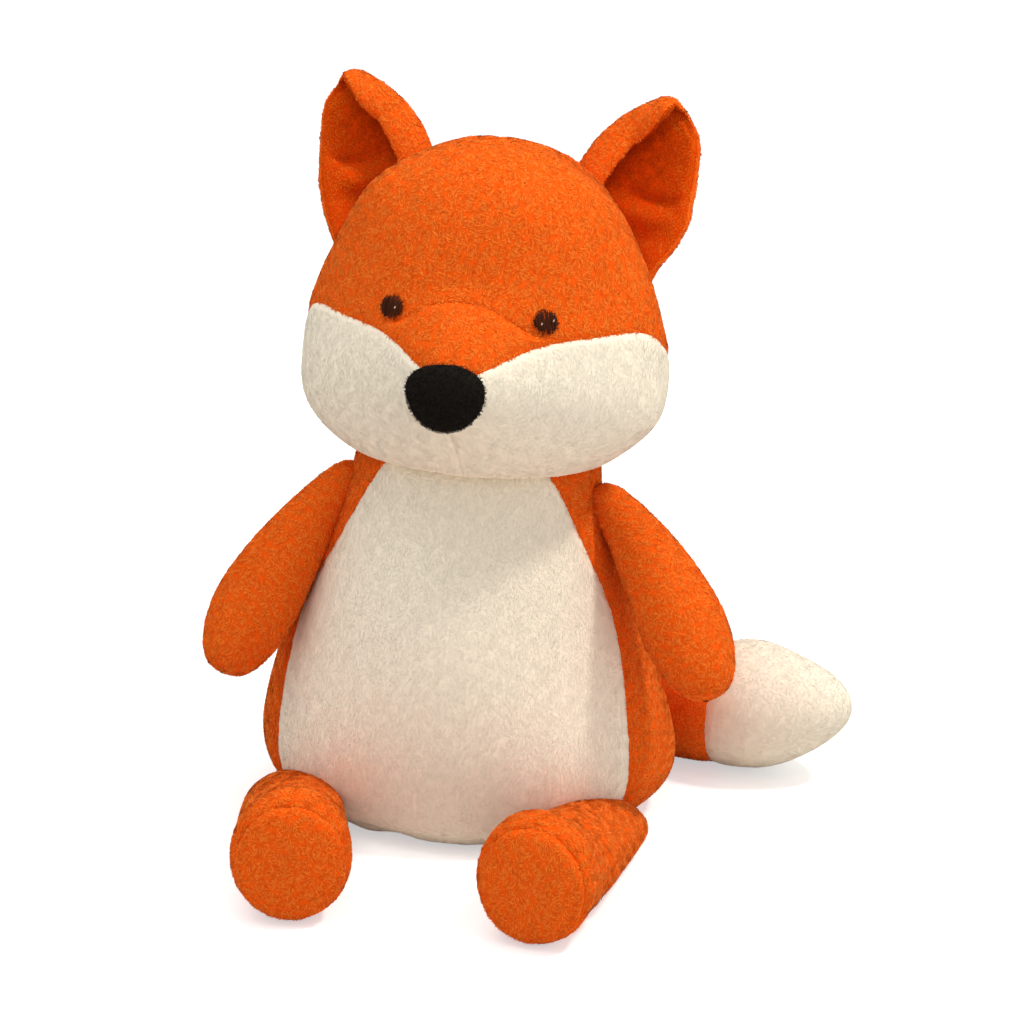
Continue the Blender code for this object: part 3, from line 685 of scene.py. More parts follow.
class Form:
    """A stuffed form: points, faces, normals, the pile's growth and the panel of each face."""

    def __init__(
        self, label, rings, first, last, panel_of, seed, depth=0.8 * MM, cap=1.5 * MM, inset=INSET
    ):
        poles = np.asarray(first, float), np.asarray(last, float)
        coarse = stuffed_surface(rings, *poles, CLOTH_STEPS)
        rows, columns = coarse.shape[:2]
        points = grid_points(coarse)
        faces = facing_out(points, grid_faces(rows, columns))
        points = points - point_normals(points, faces) * inset
        ring, column = np.divmod(np.arange((rows - 1) * columns), columns)
        panels = panel_of(ring // CLOTH_STEPS, column // CLOTH_STEPS).reshape(rows - 1, columns)
        points, out = stuffed(points, faces, at_seam(panels), cap)
        print(f"{label}: cloth moved {out.min() / MM:.1f} to {out.max() / MM:.1f} mm")
        inner = points[1:-1].reshape(rows - 2, columns, 3)
        grid = stuffed_surface(inner, points[0], points[-1], FINE_STEPS)
        self.finish(grid, panel_of, CLOTH_STEPS * FINE_STEPS, seed, depth)

    def finish(self, grid, panel_of, steps, seed, depth):
        """Adds the seam channels, dip = depth * exp(-(distance / width)^2), and soft lumps."""
        rows, columns = grid.shape[:2]
        ring, column = np.divmod(np.arange((rows - 1) * columns), columns)
        self.names = panel_of(ring // steps, column // steps)
        points = grid_points(grid)
        self.faces = facing_out(points, grid_faces(rows, columns))
        away = nearest(points, seam_points(grid, self.names.reshape(rows - 1, columns)))
        at_seam_line = np.exp(-((away / SEAM_WIDTH) ** 2))
        inland = 1 - np.exp(-((away / (4 * SEAM_WIDTH)) ** 2))
        pucker = 1 + PUCKER_STRENGTH * waves(points, PUCKER_SIZE, seed + 5)[:, 0]
        dip = -depth * pucker * at_seam_line
        lump = LUMP * waves(points, LUMP_SIZE, seed)[:, 0] * inland
        self.points = points + point_normals(points, self.faces) * (dip + lump)[:, None]
        self.normals = point_normals(self.points, self.faces)
        self.growth = 1 - SHORT_AT_SEAM * at_seam_line
        # No painted shade here; only the ears set some, in their hollows.
        self.hollow_shade = np.zeros(len(points))

    def flatten(self, low, high):
        """Holds the form between two heights, as the floor and the neck do."""
        self.points[:, 2] = np.clip(self.points[:, 2], low, high)
        self.normals = point_normals(self.points, self.faces)

    def panel(self, name):
        """The faces of one panel."""
        return self.faces[self.names == name]

    def cover(self):
        """The pile's density: full where it can be seen, less where the toy sits on itself."""
        height = self.points[:, 2]
        pressed = (height < FLOOR_NEAR) | (np.abs(height - NECK_Z) < NECK_NEAR)
        level = np.abs(self.normals[:, 2]) > FACING_DOWN
        return np.where(pressed & level, PRESSED_COVER, 1.0)

    def patch(self, centre, radius):
        """The mean point and normal of the skin within a radius of a place."""
        near = np.linalg.norm(self.points - np.asarray(centre), axis=1) < radius
        return self.points[near].mean(axis=0), unit(self.normals[near].mean(axis=0))


# %% [markdown]
# ## Head
# The head is one stuffed form. Its rings are the same shares of height and turn that the
# construction uses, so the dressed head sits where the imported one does. The muzzle is a
# smooth bump in front, a Gaussian in width and height.

# %% Head sizes

NECK_Z = 180 * MM
HEAD_HEIGHT = 160 * MM
HEAD_WIDTH = 182 * MM
HEAD_FRONT = 68 * MM
HEAD_BACK = 80 * MM
HEAD_Y = -8 * MM
HEAD_X = 4 * MM
CHEEK_FORWARD = 6 * MM
MUZZLE_REACH = 33 * MM
CHIN_LIFT = 2.5 * MM
JAW_LIFT = 3 * MM
JAW_HEIGHT = 70 * MM
CHIN_REACH = 60 * MM
JAW_REACH = 80 * MM
MUZZLE_RISE = 61 * MM
MUZZLE_HALF_WIDTH = 35 * MM
MUZZLE_HALF_HEIGHT = 27 * MM
HEAD_TURNS = np.array([0, 0.075, 0.155, 0.28, 0.44, 0.60, 0.80, 1.0])
EAR_SEAM = np.array([0.72, 0.66, 0.58, 0.56, 0.58] + [0.60] * 5)
HEAD_HEIGHTS = np.array([
    (0.93,) * 8,
    (0.81, 0.81, 0.81, 0.81, 0.81, 0.80, 0.80, 0.80),
    (0.70, 0.695, 0.69, 0.68, 0.65, 0.62, 0.62, 0.62),
    (0.607, 0.58, 0.523, 0.567, 0.533, 0.47, 0.46, 0.46),
    (0.427, 0.453, 0.490, 0.50, 0.467, 0.34, 0.32, 0.32),
    (0.28, 0.29, 0.31, 0.32, 0.27, 0.21, 0.20, 0.20),
    (0.13, 0.13, 0.14, 0.14, 0.13, 0.11, 0.11, 0.11),
    (0.04,) * 8,
    (-0.004,) * 8,
    (-0.011,) * 8,
])
PROFILE_AT = (-0.02, -0.004, 0.04, 0.12, 0.22, 0.32, 0.42, 0.52, 0.62, 0.72, 0.82, 0.91, 0.97, 1.0)
PROFILE = (0.0, 0.62, 0.775, 0.925, 0.99, 1.0, 0.965, 0.91, 0.85, 0.78, 0.68, 0.53, 0.33, 0.0)

HEAD_YAW = -2
HEAD_TILT = 0.5
head_turned = Matrix.Rotation(np.radians(HEAD_YAW), 4, "Z")
head_turned = head_turned @ Matrix.Rotation(np.radians(HEAD_TILT), 4, "Y")
neck = Matrix.Translation((0, HEAD_Y, NECK_Z))
HEAD_POSE = np.array(Matrix.Translation((HEAD_X, 0, 0)) @ neck @ head_turned @ neck.inverted())


def posed(points, matrix=HEAD_POSE):
    """Points carried by a 4 x 4 matrix."""
    return np.asarray(points) @ matrix[:3, :3].T + matrix[:3, 3]


# %% Head surface


def head_point(turn, share):
    """A point of the head at a turn from the muzzle and a share of its height.

    x = size sin(turn) width / 2, y = -size (cos(turn) depth + sin(turn)^2 cheek), and the
    muzzle adds reach * exp(-(x / w)^2 - (z / h)^2) on the front half.
    """
    turn, share = np.broadcast_arrays(turn, share)
    size = np.interp(share, PROFILE_AT, PROFILE)
    depth = np.where(np.cos(turn) > 0, HEAD_FRONT, HEAD_BACK)
    x = size * np.sin(turn) * HEAD_WIDTH / 2
    y = HEAD_Y - size * (np.cos(turn) * depth + np.sin(turn) ** 2 * CHEEK_FORWARD)
    over = share * HEAD_HEIGHT - MUZZLE_RISE
    bump = np.exp(-((x / MUZZLE_HALF_WIDTH) ** 2) - (over / MUZZLE_HALF_HEIGHT) ** 2)
    y = y - np.where(np.cos(turn) > 0, MUZZLE_REACH * bump, 0)
    return np.stack([x, y, NECK_Z + share * HEAD_HEIGHT], axis=-1)


def eased(t):
    """0 below 0, 1 above 1, and 3 t^2 - 2 t^3 between."""
    t = np.clip(t, 0, 1)
    return t * t * (3 - 2 * t)


def jaw_lifted(points):
    """The front of the chin raised by CHIN_LIFT, and the left cheek's underside by JAW_LIFT."""
    x, y, z = np.moveaxis(points, -1, 0)
    low = eased((NECK_Z + JAW_HEIGHT - z) / JAW_HEIGHT)
    rise = low * (CHIN_LIFT * eased(-y / CHIN_REACH) + JAW_LIFT * eased(x / JAW_REACH))
    return np.stack([x, y, z + rise], axis=-1)


def head_rings():
    """Ten rings of fourteen points, from the crown to the neck."""
    place = np.array([0, 1, 2, 3, 4, 5, 6, 7, 6, 5, 4, 3, 2, 1])
    side = np.where(np.arange(14) <= 7, 1, -1)
    turns = np.tile(HEAD_TURNS[place], (len(HEAD_HEIGHTS), 1))
    turns[:, place == 5] = EAR_SEAM[:, None]
    return jaw_lifted(posed(head_point(side * np.pi * turns, HEAD_HEIGHTS[:, place])))


def head_panels(ring, column):
    """The panel of each cell, as the seams run on the toy."""
    side = np.where(column < 7, "left", "right")
    place = np.minimum(column, 13 - column)
    names = np.full(len(ring), "head_crown", dtype=object)
    names[(ring == 4) & (place < 2)] = "head_bridge"
    cheek = ring >= 5
    names[cheek] = "cheek_" + side[cheek].astype(object)
    back = place >= 5
    names[back] = "head_back_" + side[back].astype(object)
    return names


crown, base = posed(head_point(0.0, 1.0)), posed((0, HEAD_Y, NECK_Z - 3 * MM))
head = Form("head", head_rings(), crown, base, head_panels, 11, depth=0.6 * MM, cap=0.8 * MM)
print("head:", len(head.faces), "faces,", sorted(set(head.names)))

# %% [markdown]
# ## Torso, arms, legs and tail
# The torso is a pear, and each limb is a drop or a tube carried along a bent line. The
# rings use the construction's own shares, so every piece lies where its solid lies.

# %% Torso

TORSO_WIDTH = 206 * MM
TORSO_FRONT = 88 * MM
TORSO_BACK = 80 * MM
TORSO_TOP = 196 * MM
SEAT_SHIFT = 24 * MM
SIDE_SAG = 0.055
SAG_AT = 0.5
SAG_REACH = 0.25
FLOOR_GAP = 0.6 * MM
NO_CEILING = 1
TORSO_TURNS = np.array([0, 0.17, 0, 0.50, 0.667, 0.833, 1.0])
TORSO_RINGS = np.array([
    (0.955, 0.50, 0.42, 0.44, 0.235),
    (0.857, 0.61, 0.55, 0.56, 0.285),
    (0.714, 0.69, 0.69, 0.66, 0.34),
    (0.561, 0.785, 0.82, 0.77, 0.375),
    (0.398, 0.885, 0.93, 0.88, 0.36),
    (0.235, 0.985, 1.0, 0.98, 0.33),
    (0.102, 1.0, 0.985, 1.0, 0.305),
    (0.018, 0.79, 0.83, 0.84, 0.30),
    (0.0, 0.45, 0.45, 0.45, 0.40),
])


def torso_rings():
    """Nine rings of twelve points; each has its own height, width, depths and seam turn.

    The right side sags out by a share, SIDE_SAG * exp(-((height - SAG_AT) / SAG_REACH)^2).
    """
    place = np.array([0, 1, 2, 3, 4, 5, 6, 5, 4, 3, 2, 1])
    side = np.where(np.arange(12) <= 6, 1, -1)
    height, width, front, back, seam = (column[:, None] for column in TORSO_RINGS.T)
    turn = side * np.pi * np.where(place == 2, seam, TORSO_TURNS[place])
    depth = np.where(np.cos(turn) > 0, front * TORSO_FRONT, back * TORSO_BACK)
    shift = np.where(height == 0, SEAT_SHIFT, 0)
    x = width * np.sin(turn) * TORSO_WIDTH / 2
    x = x * (1 + np.where(x < 0, SIDE_SAG * np.exp(-(((height - SAG_AT) / SAG_REACH) ** 2)), 0))
    z = np.broadcast_to(height * TORSO_TOP, x.shape)
    return np.stack([x, shift - np.cos(turn) * depth, z], axis=-1)


def torso_panels(ring, column):
    """Tummy in front, and two sides that meet at the back."""
    place = np.minimum(column, 11 - column)
    side = np.where(column < 6, "torso_left", "torso_right").astype(object)
    return np.where(place < 2, "tummy", side)


poles = (0, 0, TORSO_TOP), (0, SEAT_SHIFT, 0)
torso = Form("torso", torso_rings(), *poles, torso_panels, 21, inset=0.8 * MM)
torso.flatten(FLOOR_GAP, NECK_Z + 3 * MM)
print("torso:", len(torso.faces), "faces,", sorted(set(torso.names)))

# %% Lines for limbs


def along(line, share):
    """Points on the parabola through a start, a bend and an end, at shares of its way."""
    start, bend, end = line
    handle = 2 * bend - (start + end) / 2
    share = np.asarray(share, float)[..., None]
    return (1 - share) ** 2 * start + 2 * share * (1 - share) * handle + share**2 * end


def run_of(line, share):
    """The direction of that line."""
    share = np.asarray(share, float)
    return unit(along(line, share + 0.01) - along(line, share - 0.01))


def on_side(points, side):
    """Points of the left side, mirrored for the right one."""
    return np.asarray(points) * (side, 1, 1)


def tube_rings(centres, across, upright, widths, heights, columns=8):
    """Rings round a line: centre + across cos(turn) width / 2 + upright sin(turn) height / 2."""
    turn = 2 * np.pi * np.arange(columns) / columns
    first = across[:, None] * np.cos(turn)[:, None] * widths[:, None, None] / 2
    second = upright[:, None] * np.sin(turn)[:, None] * heights[:, None, None] / 2
    return centres[:, None] + first + second


# %% Arms

ARM_SHOULDER = np.array([59, -4, 167]) * MM
ARM_ELBOW = np.array([89, -26, 131]) * MM
ARM_TIP = np.array([116, -60, 78.5]) * MM
ARM_WIDTH = 40 * MM
ARM_DEPTH = 40 * MM
ARM_HINGE = np.array([55, -6, 176]) * MM
ARM_REST_LIFT = {1: 6, -1: -1.8}
ARM_TOP_SHIFT = {1: np.array([-1, 0, 0]) * MM, -1: np.array([-2, 0, 3]) * MM}
ARM_SHARES = np.array([(0.05, 0.38), (0.22, 0.60), (0.46, 0.84), (0.75, 1.05), (0.955, 0.68)])


def arm_form(side):
    """A bent drop from the shoulder to the paw, lifted a little about its hinge."""
    line = (ARM_SHOULDER + ARM_TOP_SHIFT[side], ARM_ELBOW, ARM_TIP)
    place, size = ARM_SHARES.T
    run = run_of(line, place)
    front = unit(np.array([0, -1, 0]) + run * run[:, 1:2])
    across = np.cross(run, front)
    rings = tube_rings(along(line, place), across, front, size * ARM_WIDTH, size * ARM_DEPTH)
    hinge = Matrix.Translation(ARM_HINGE)
    turned = Matrix.Rotation(np.radians(-ARM_REST_LIFT[side]), 4, "Y")
    lift = np.array(hinge @ turned @ hinge.inverted())
    rings, first, last = (on_side(posed(p, lift), side) for p in (rings, line[0], ARM_TIP))
    return Form("arm", rings, first, last, arm_panels, 31 + side, inset=0.2 * MM)


def arm_panels(ring, column):
    """A front and a back panel, sewn along both edges."""
    return np.where(column < 4, "front", "back").astype(object)


# %% Legs

HIP = np.array([80, -38, 0]) * MM
SOLE = np.array([55, -177, 0]) * MM
LEG_THICK = 45 * MM
FOOT_WIDTH = 57 * MM
FOOT_HEIGHT = 63 * MM
FOOT_LENGTH = 46 * MM
SOLE_DIAMETER = 55 * MM
FOOT_SHIFT = np.array([1.9, -1.5, 0]) * MM
TUBE_HEIGHTS = (1.13, 0.72, 0.50)
TUBE_WIDTHS = (1.24, 1.12, 0.78)


def leg_form(side):
    """A leg laid forward along the floor: hip, tube, thicker foot and round sole."""
    toe = SOLE + FOOT_SHIFT * (side, 1, 1)
    run = unit(toe - HIP)
    across = np.cross(run, UP)
    tube = np.linalg.norm(toe - HIP) - FOOT_LENGTH
    foot_at = np.array([0.025, 0.15, 0.50, 1.0]) * FOOT_LENGTH
    tube_at = FOOT_LENGTH + np.array([0.62, 0.93]) * tube
    back = np.concatenate([foot_at, tube_at])
    tube_wide, tube_high = (np.array(shares) * LEG_THICK for shares in (TUBE_WIDTHS, TUBE_HEIGHTS))
    foot_wide = [0.6 * SOLE_DIAMETER, 0.97 * FOOT_WIDTH, FOOT_WIDTH]
    foot_high = [0.6 * SOLE_DIAMETER, 0.95 * FOOT_HEIGHT, FOOT_HEIGHT]
    foot_level = [SOLE_DIAMETER, 0.96 * FOOT_HEIGHT, FOOT_HEIGHT]
    width = np.concatenate([foot_wide, tube_wide])
    height = np.concatenate([foot_high, tube_high])
    middle = np.concatenate([foot_level, tube_high]) / 2
    centres = toe - run * back[:, None] + UP * middle[:, None]
    sides, ups = (np.broadcast_to(way, centres.shape) for way in (across, UP))
    rings = tube_rings(centres, sides, ups, width, height)
    sole = toe + UP * SOLE_DIAMETER / 2
    hip = HIP + UP * tube_high[-1] / 2
    rings, first, last = (on_side(p, side) for p in (rings, sole, hip))
    looseness = dict(depth=1.5 * MM, cap=2 * MM, inset=0.8 * MM)
    made = Form("leg", rings, first, last, leg_panels, 41 + side, **looseness)
    made.flatten(FLOOR_GAP, NO_CEILING)
    return made


def leg_panels(ring, column):
    """The sole, the foot upper, and the leg tube behind it."""
    return np.select([ring < 2, ring < 4], ["sole", "foot"], "tube").astype(object)


# %% Tail

TAIL_THICK = 63 * MM
TAIL_ROOT_X = 22 * MM
TAIL_BEND = np.array([94, 71, 0]) * MM
TAIL_TIP = np.array([188, 49, 0]) * MM
TAIL_SHARES = np.array([(0.07, 0.34), (0.32, 0.66), (0.655, 1.06), (0.82, 0.99), (0.945, 0.58)])
TAIL_LIFT_AT = (0, 0.3, 0.7, 0.82, 1)
TAIL_LIFT = (0.68, 0, 0, 1.10, 1.28)


def tail_height(place, radius):
    """Height of the middle line: its radius on the floor, and lifted at both ends."""
    return np.maximum(radius, np.interp(place, TAIL_LIFT_AT, TAIL_LIFT) * TAIL_THICK / 2)


def tail_form():
    """A thick drop that lies on the floor and curls round to the fox's left."""
    depth = TORSO_BACK * np.sqrt(1 - (2 * TAIL_ROOT_X / TORSO_WIDTH) ** 2)
    line = (np.array([TAIL_ROOT_X, depth, 0]), TAIL_BEND, TAIL_TIP)
    place, size = TAIL_SHARES.T
    run = run_of(line, place)
    radius = size * TAIL_THICK / 2
    centres = along(line, place) + UP * tail_height(place, radius)[:, None]
    ups = np.broadcast_to(UP, run.shape)
    rings = tube_rings(centres, np.cross(run, UP), ups, 2 * radius, 2 * radius)
    root = line[0] + UP * tail_height(0, 0)
    tip = line[2] + UP * tail_height(1, 0)
    made = Form("tail", rings, root, tip, tail_panels, 51)
    made.flatten(FLOOR_GAP, NO_CEILING)
    return made


def tail_panels(ring, column):
    """An orange base and a cream tip."""
    return np.where(ring < 3, "tail_base", "tail_tip").astype(object)


arms = {"left": arm_form(1), "right": arm_form(-1)}
legs = {"left": leg_form(1), "right": leg_form(-1)}
tail = tail_form()
print("limbs:", [len(f.faces) for f in (*arms.values(), *legs.values(), tail)])

# %% [markdown]
# ## Ears
# A plush ear is a flat pocket whose inner edge is folded forward before it is sewn on, so
# it stands up as a deep cup. Each level of the ear is a bent line: flat at the back, then
# turning forward at the inner edge. The pocket is that line with a thickness, thin at its
# seam and fullest between.

# %% Ear surface

EAR_CORNERS = np.array([(0.46, 0.40, 0.89), (0.90, 0.15, 0.605), (0.91, 0.55, 1.075)])
EAR_OUTLINE_AT = (-0.3, 0.0, 0.2, 0.45, 0.7, 0.88, 0.97, 1.0)
EAR_OUTLINE = (1.0, 1.0, 0.96, 0.83, 0.62, 0.44, 0.29, 0.08)
EAR_INNER_WIDER = 1.02
EAR_OUTER_WIDER = {1: 1.09, -1: 0.91}
EAR_OUTER_LOW = {1: 0.86, -1: 0.84}
EAR_TIP_SHIFT = {1: np.array([3.5, 0, -4.0]) * MM, -1: np.array([5.0, 0, -3.5]) * MM}
EAR_HALF_THICK = 4.6 * MM
EAR_ROWS = 44
EAR_COLUMNS = 96
EAR_LOW = -0.28
FOLD_FROM_AT = (0.45, 0.95)
FOLD_FROM = (0.44, 0.20)
TURN_AT = (0, 0.5, 1)
FOLD_DEGREES = (155, 155, 100)
CURL_DEGREES = (62, 56, 30)
FOLD_WIDTH = 0.40
EAR_SHORTER = 0.965
EAR_FOLD_LINE = {1: 0.09, -1: 0.25}
FOLD_LINE_SLANT = {1: 0.40, -1: 0.30}
BULGE = 4.8 * MM
CREASE = 3.0 * MM


def bent(slope):
    """Running sums of the cosine and the sine of a slope: a line's two distances."""
    step = 1 / (len(slope) - 1)
    side = np.concatenate([[0], np.cumsum(np.cos(slope[:-1]))]) * step
    ahead = np.concatenate([[0], np.cumsum(np.sin(slope[:-1]))]) * step
    return side, ahead


def ear_line(across, fold, fold_from, curl):
    """Sideways and forward distances of one level of the ear, as shares of its half width.

    across runs from -1 at the folded inner edge to 1 at the outer one. The slope turns by
    `fold` from a place on the inner half, and slowly by `curl` on the outer half.
    """
    t = np.linspace(0, 1, 101)
    side, ahead = bent(fold * eased((t - fold_from) / FOLD_WIDTH))
    inner = [np.interp(np.abs(across), t, line) / side.max() for line in (side, ahead)]
    side, ahead = bent(curl * t**1.5)
    outer = [np.interp(across, t, line) / side.max() for line in (side, ahead)]
    sideways = np.where(across < 0, -EAR_INNER_WIDER * inner[0], outer[0])
    return sideways, np.where(across < 0, inner[1], outer[1])


# %% Ear sheet and thickness


def ear_grid(side):
    """An ear as a grid: rows from below its root to its tip, columns round the pocket.

    Each row is the bent line at that height, and each point then moves along the sheet's
    normal by half thickness * sqrt(1 - across^8), forwards on the front panel and
    backwards on the other. A bulge and a crease cross the front near the root. The second
    result is how hollow each point lies, from 0 to 1, which sets the painted shade of the hollow.
    """
    sizes = np.array([HEAD_WIDTH / 2, HEAD_BACK, HEAD_HEIGHT])
    inner, outer, tip = EAR_CORNERS * sizes + np.array([0, HEAD_Y, NECK_Z])
    middle = (inner + outer) / 2
    base = (outer - inner) / 2
    rise = (tip + EAR_TIP_SHIFT[side] - middle) * EAR_SHORTER
    forward = np.cross(rise, base)
    forward = unit(forward * -np.sign(forward[1]))
    turn = 2 * np.pi * np.arange(EAR_COLUMNS) / EAR_COLUMNS
    across = np.cos(turn)
    heights = np.linspace(EAR_LOW, 1, EAR_ROWS)
    rows = []
    for height in heights:
        size = np.interp(height, EAR_OUTLINE_AT, EAR_OUTLINE)
        fold = np.radians(np.interp(height, TURN_AT, FOLD_DEGREES))
        curl = np.radians(np.interp(height, TURN_AT, CURL_DEGREES))
        sideways, ahead = ear_line(across, fold, np.interp(height, FOLD_FROM_AT, FOLD_FROM), curl)
        wider = np.interp(height, (0, 0.4), (EAR_OUTER_LOW[side], EAR_OUTER_WIDER[side]))
        sideways = np.where(sideways > 0, sideways * wider, sideways)
        half = np.linalg.norm(base) * size
        sheet = middle + rise * height + base * (sideways * size)[:, None]
        rows.append(sheet + forward * (ahead * half - 0.25 * half)[:, None])
    grid = np.array(rows)
    around = np.roll(grid, -1, axis=1) - np.roll(grid, 1, axis=1)
    span = unit(np.where(np.sin(turn)[:, None] > 0, -1, 1) * around)
    out = unit(np.cross(span, unit(np.gradient(grid, axis=0))))
    out = out * np.sign(np.sum(out * forward))
    share = np.interp(heights, (EAR_LOW, 0.6, 0.93, 1), (1, 1, 0.75, 0.2))[:, None]
    thick = np.sign(np.sin(turn)) * EAR_HALF_THICK * np.sqrt(np.maximum(1 - across**8, 0)) * share
    window = np.where(np.sin(turn) > 0, np.exp(-(((across - 0.35) / 0.45) ** 2)), 0)
    level = heights[:, None] - FOLD_LINE_SLANT[side] * (across + 0.3) - EAR_FOLD_LINE[side]
    bulge = BULGE * np.exp(-(((level + 0.17) / 0.11) ** 2))
    cross = bulge - CREASE * np.exp(-((level / 0.05) ** 2))
    grid = grid + out * (thick + cross * window)[..., None]
    # Painted shade: a mask of the ear's hollow on the front panel, from 0 to 1.
    hollow = np.where(np.sin(turn) > 0, eased((0.85 - across) / 1.1), 0)
    hollow = hollow * (0.45 + 0.55 * eased((level + 0.10) / 0.10))
    return posed(on_side(grid, side)), eased((0.88 - heights) / 0.17)[:, None] * hollow


# %% [markdown]
# ## Dressing the forms
# Each panel becomes two pieces: the cloth, which stands for the imported panel, and its
# pile. Limbs are sewn to the torso; their pieces keep the place they are made in, with
# their transform built into their points.

# %% Looks of the pile



def pile_look(nap, swirl, swirl_size, length, width, lift, tilt):
    """How one fabric is combed and how its blades are shaped; sizes are in millimetres."""
    comb = dict(nap=(0, 0, -nap), swirl=swirl, swirl_size=swirl_size * MM)
    return comb, dict(length=length * MM, width=width * MM, lift=lift, tilt=tilt)


PLUSH = pile_look(0.35, 1.0, 6, length=2.8, width=0.50, lift=0.23, tilt=0.09)
SOFT = pile_look(0.7, 0.5, 9, length=2.0, width=0.36, lift=0.22, tilt=0.03)
LINING = pile_look(0.5, 0.8, 8, length=2.2, width=0.36, lift=0.28, tilt=0.08)
DENSITY = 1.40
looks = {
    "orange": (orange_skin, orange_pile, PLUSH, "orange_pile"),
    "cream": (cream_skin, cream_pile, SOFT, "cream_pile"),
    # The ear's front takes the darker lining: painted shade in the hollow.
    "lining": (lining_skin_painted_shade, lining_pile_painted_shade, LINING, "orange_pile"),
}


def dress(name, form, panel, colour, nodes, attach, seed, bare=()):
    """The cloth and the pile of one panel, fixed in place by `attach`."""
    ground, strands, look, slot = looks[colour]
    faces = form.panel(panel)
    cloth = cloth_shell(name + "_cloth", form.points, form.normals, faces, ground)
    pile = grow_pile(name + "_pile", form, faces, DENSITY, look, seed, strands, bare)
    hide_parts(*nodes)
    for piece in (cloth, *pile):
        attach(piece)


def riding(body):
    """A way to fix a piece: it moves with one body."""
    return lambda piece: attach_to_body(piece, body)


def bending():
    """A way to fix a piece: its transform is built into its points, and it rides on no body."""
    return lambda piece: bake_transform(piece)


# %% Where the eyes sit

EYE_RADIUS = 5.6 * MM
EYE_SHIFT = {"left": np.array([3.2, 0, 0.8]) * MM, "right": np.array([2.3, 0, 2.1]) * MM}
EYE_SEAT = 6 * MM
BARE_SHARE = 0.93
eye_places = {}
for word in ("left", "right"):
    low, high = (np.array(corner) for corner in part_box(f"eye_{word}"))
    eye_places[word] = head.patch((low + high) / 2 + EYE_SHIFT[word], EYE_SEAT)
bare_eyes = [(place, BARE_SHARE * EYE_RADIUS) for place, normal in eye_places.values()]
print("eyes at:", [np.round(place, 4).tolist() for place, normal in eye_places.values()])

# %% Head and torso pieces

fixed = riding("head")
nodes = ["head_crown_panel", "head_filling"]
dress("head_crown", head, "head_crown", "orange", nodes, fixed, 101, bare_eyes)
dress("head_bridge", head, "head_bridge", "orange", ["head_bridge_panel"], fixed, 111)
for panel, colour, seed in (
    ("cheek_left", "cream", 121),
    ("head_back_left", "orange", 126),
    ("cheek_right", "cream", 131),
    ("head_back_right", "orange", 136),
):
    dress(panel, head, panel, colour, [f"{panel}_panel"], fixed, seed)

fixed = riding("torso")
dress("tummy", torso, "tummy", "cream", ["tummy_panel", "torso_filling"], fixed, 201)
for seed, word in ((211, "left"), (221, "right")):
    nodes = [f"torso_back_{word}_panel"]
    dress(f"torso_{word}", torso, f"torso_{word}", "orange", nodes, fixed, seed)

# %% Limb pieces

for side, word in ((1, "left"), (-1, "right")):
    bend = bending()
    for panel, more in (("front", [f"arm_{word}_filling"]), ("back", [])):
        name = f"arm_{word}_{panel}"
        seed = 300 + 10 * side + len(panel)
        dress(name, arms[word], panel, "orange", [f"{name}_panel", *more], bend, seed)
    bend = bending()
    for name, panel, nodes, seed in (
        (f"leg_{word}", "tube", [f"leg_{word}_tube", f"leg_{word}_filling"], 400),
        (f"foot_{word}", "foot", [f"foot_{word}_upper"], 403),
        (f"sole_{word}", "sole", [f"sole_{word}"], 406),
    ):
        dress(name, legs[word], panel, "orange", nodes, bend, seed + 10 * side)

bend = bending()
dress("tail_base", tail, "tail_base", "orange", ["tail_base_panel", "tail_filling"], bend, 501)
dress("tail_tip", tail, "tail_tip", "cream", ["tail_tip_panel"], bend, 505)

# %% Ear pieces

# Painted shade: how far the colour in the ear's hollow moves towards the darker root.
HOLLOW_PAINTED_SHADE = 0.7


def ear_panels(ring, column):
    """The front panel is the first half of the columns."""
    return np.where(column < EAR_COLUMNS // 2, "front", "back").astype(object)


class Ear(Form):
    """An ear: its grid, closed at both ends, with the seam round its edge."""

    def __init__(self, side):
        grid, hollow = ear_grid(side)
        size = (1, EAR_COLUMNS, 3)
        first, last = (np.broadcast_to(row.mean(axis=0), size) for row in (grid[0], grid[-1]))
        self.finish(np.concatenate([first, grid, last]), ear_panels, 1, 61 + side, 0.2 * MM)
        # Painted shade in the hollow of the cup.
        self.hollow_shade = HOLLOW_PAINTED_SHADE * np.concatenate([[0], hollow.ravel(), [0]])


for side, word in ((1, "left"), (-1, "right")):
    ear = Ear(side)
    for panel, seed in (("front", 601), ("back", 611)):
        name = f"ear_{word}_{panel}"
        colour = "lining" if panel == "front" else "orange"
        dress(name, ear, panel, colour, [name], riding("head"), seed + side)

# %% [markdown]
# ## Nose
# The nose is a pad of short black fleece, wider above than below, stuffed hard and sewn
# over the end of the muzzle. It is an ellipsoid whose width grows with height, with a
# flattened top, and its pile stands almost upright, which leaves the edge slightly rough.

# %% Nose

NOSE_TAPER = 0.14
NOSE_SQUARE = 0.95
NOSE_SKIN = 0.6 * MM
NOSE_LOWER = 1.2 * MM
FLEECE = pile_look(0.2, 0.8, 4, length=1.5, width=0.4, lift=1.2, tilt=0.25)


def nose_rings(low, high):
    """Rings of an ellipsoid from its front pole: powers below one square its outline a little."""
    centre, half = (low + high) / 2, (high - low) / 2 - NOSE_SKIN
    from_front = np.radians([22, 45, 68, 90, 115])[:, None]
    turn = 2 * np.pi * np.arange(16) / 16
    level = np.sign(np.sin(turn)) * np.abs(np.sin(turn)) ** NOSE_SQUARE * np.sin(from_front)
    wide = np.sign(np.cos(turn)) * np.abs(np.cos(turn)) ** NOSE_SQUARE * np.sin(from_front)
    wide = wide * (1 + NOSE_TAPER * level)
    ahead = -np.cos(from_front) + 0 * turn
    reach = (0, half[1], 0)
    return centre + half * np.stack([wide, ahead, level], axis=-1), centre - reach, centre + reach


def nose_panel(ring, column):
    """One panel."""
    return np.full(len(ring), "nose", dtype=object)


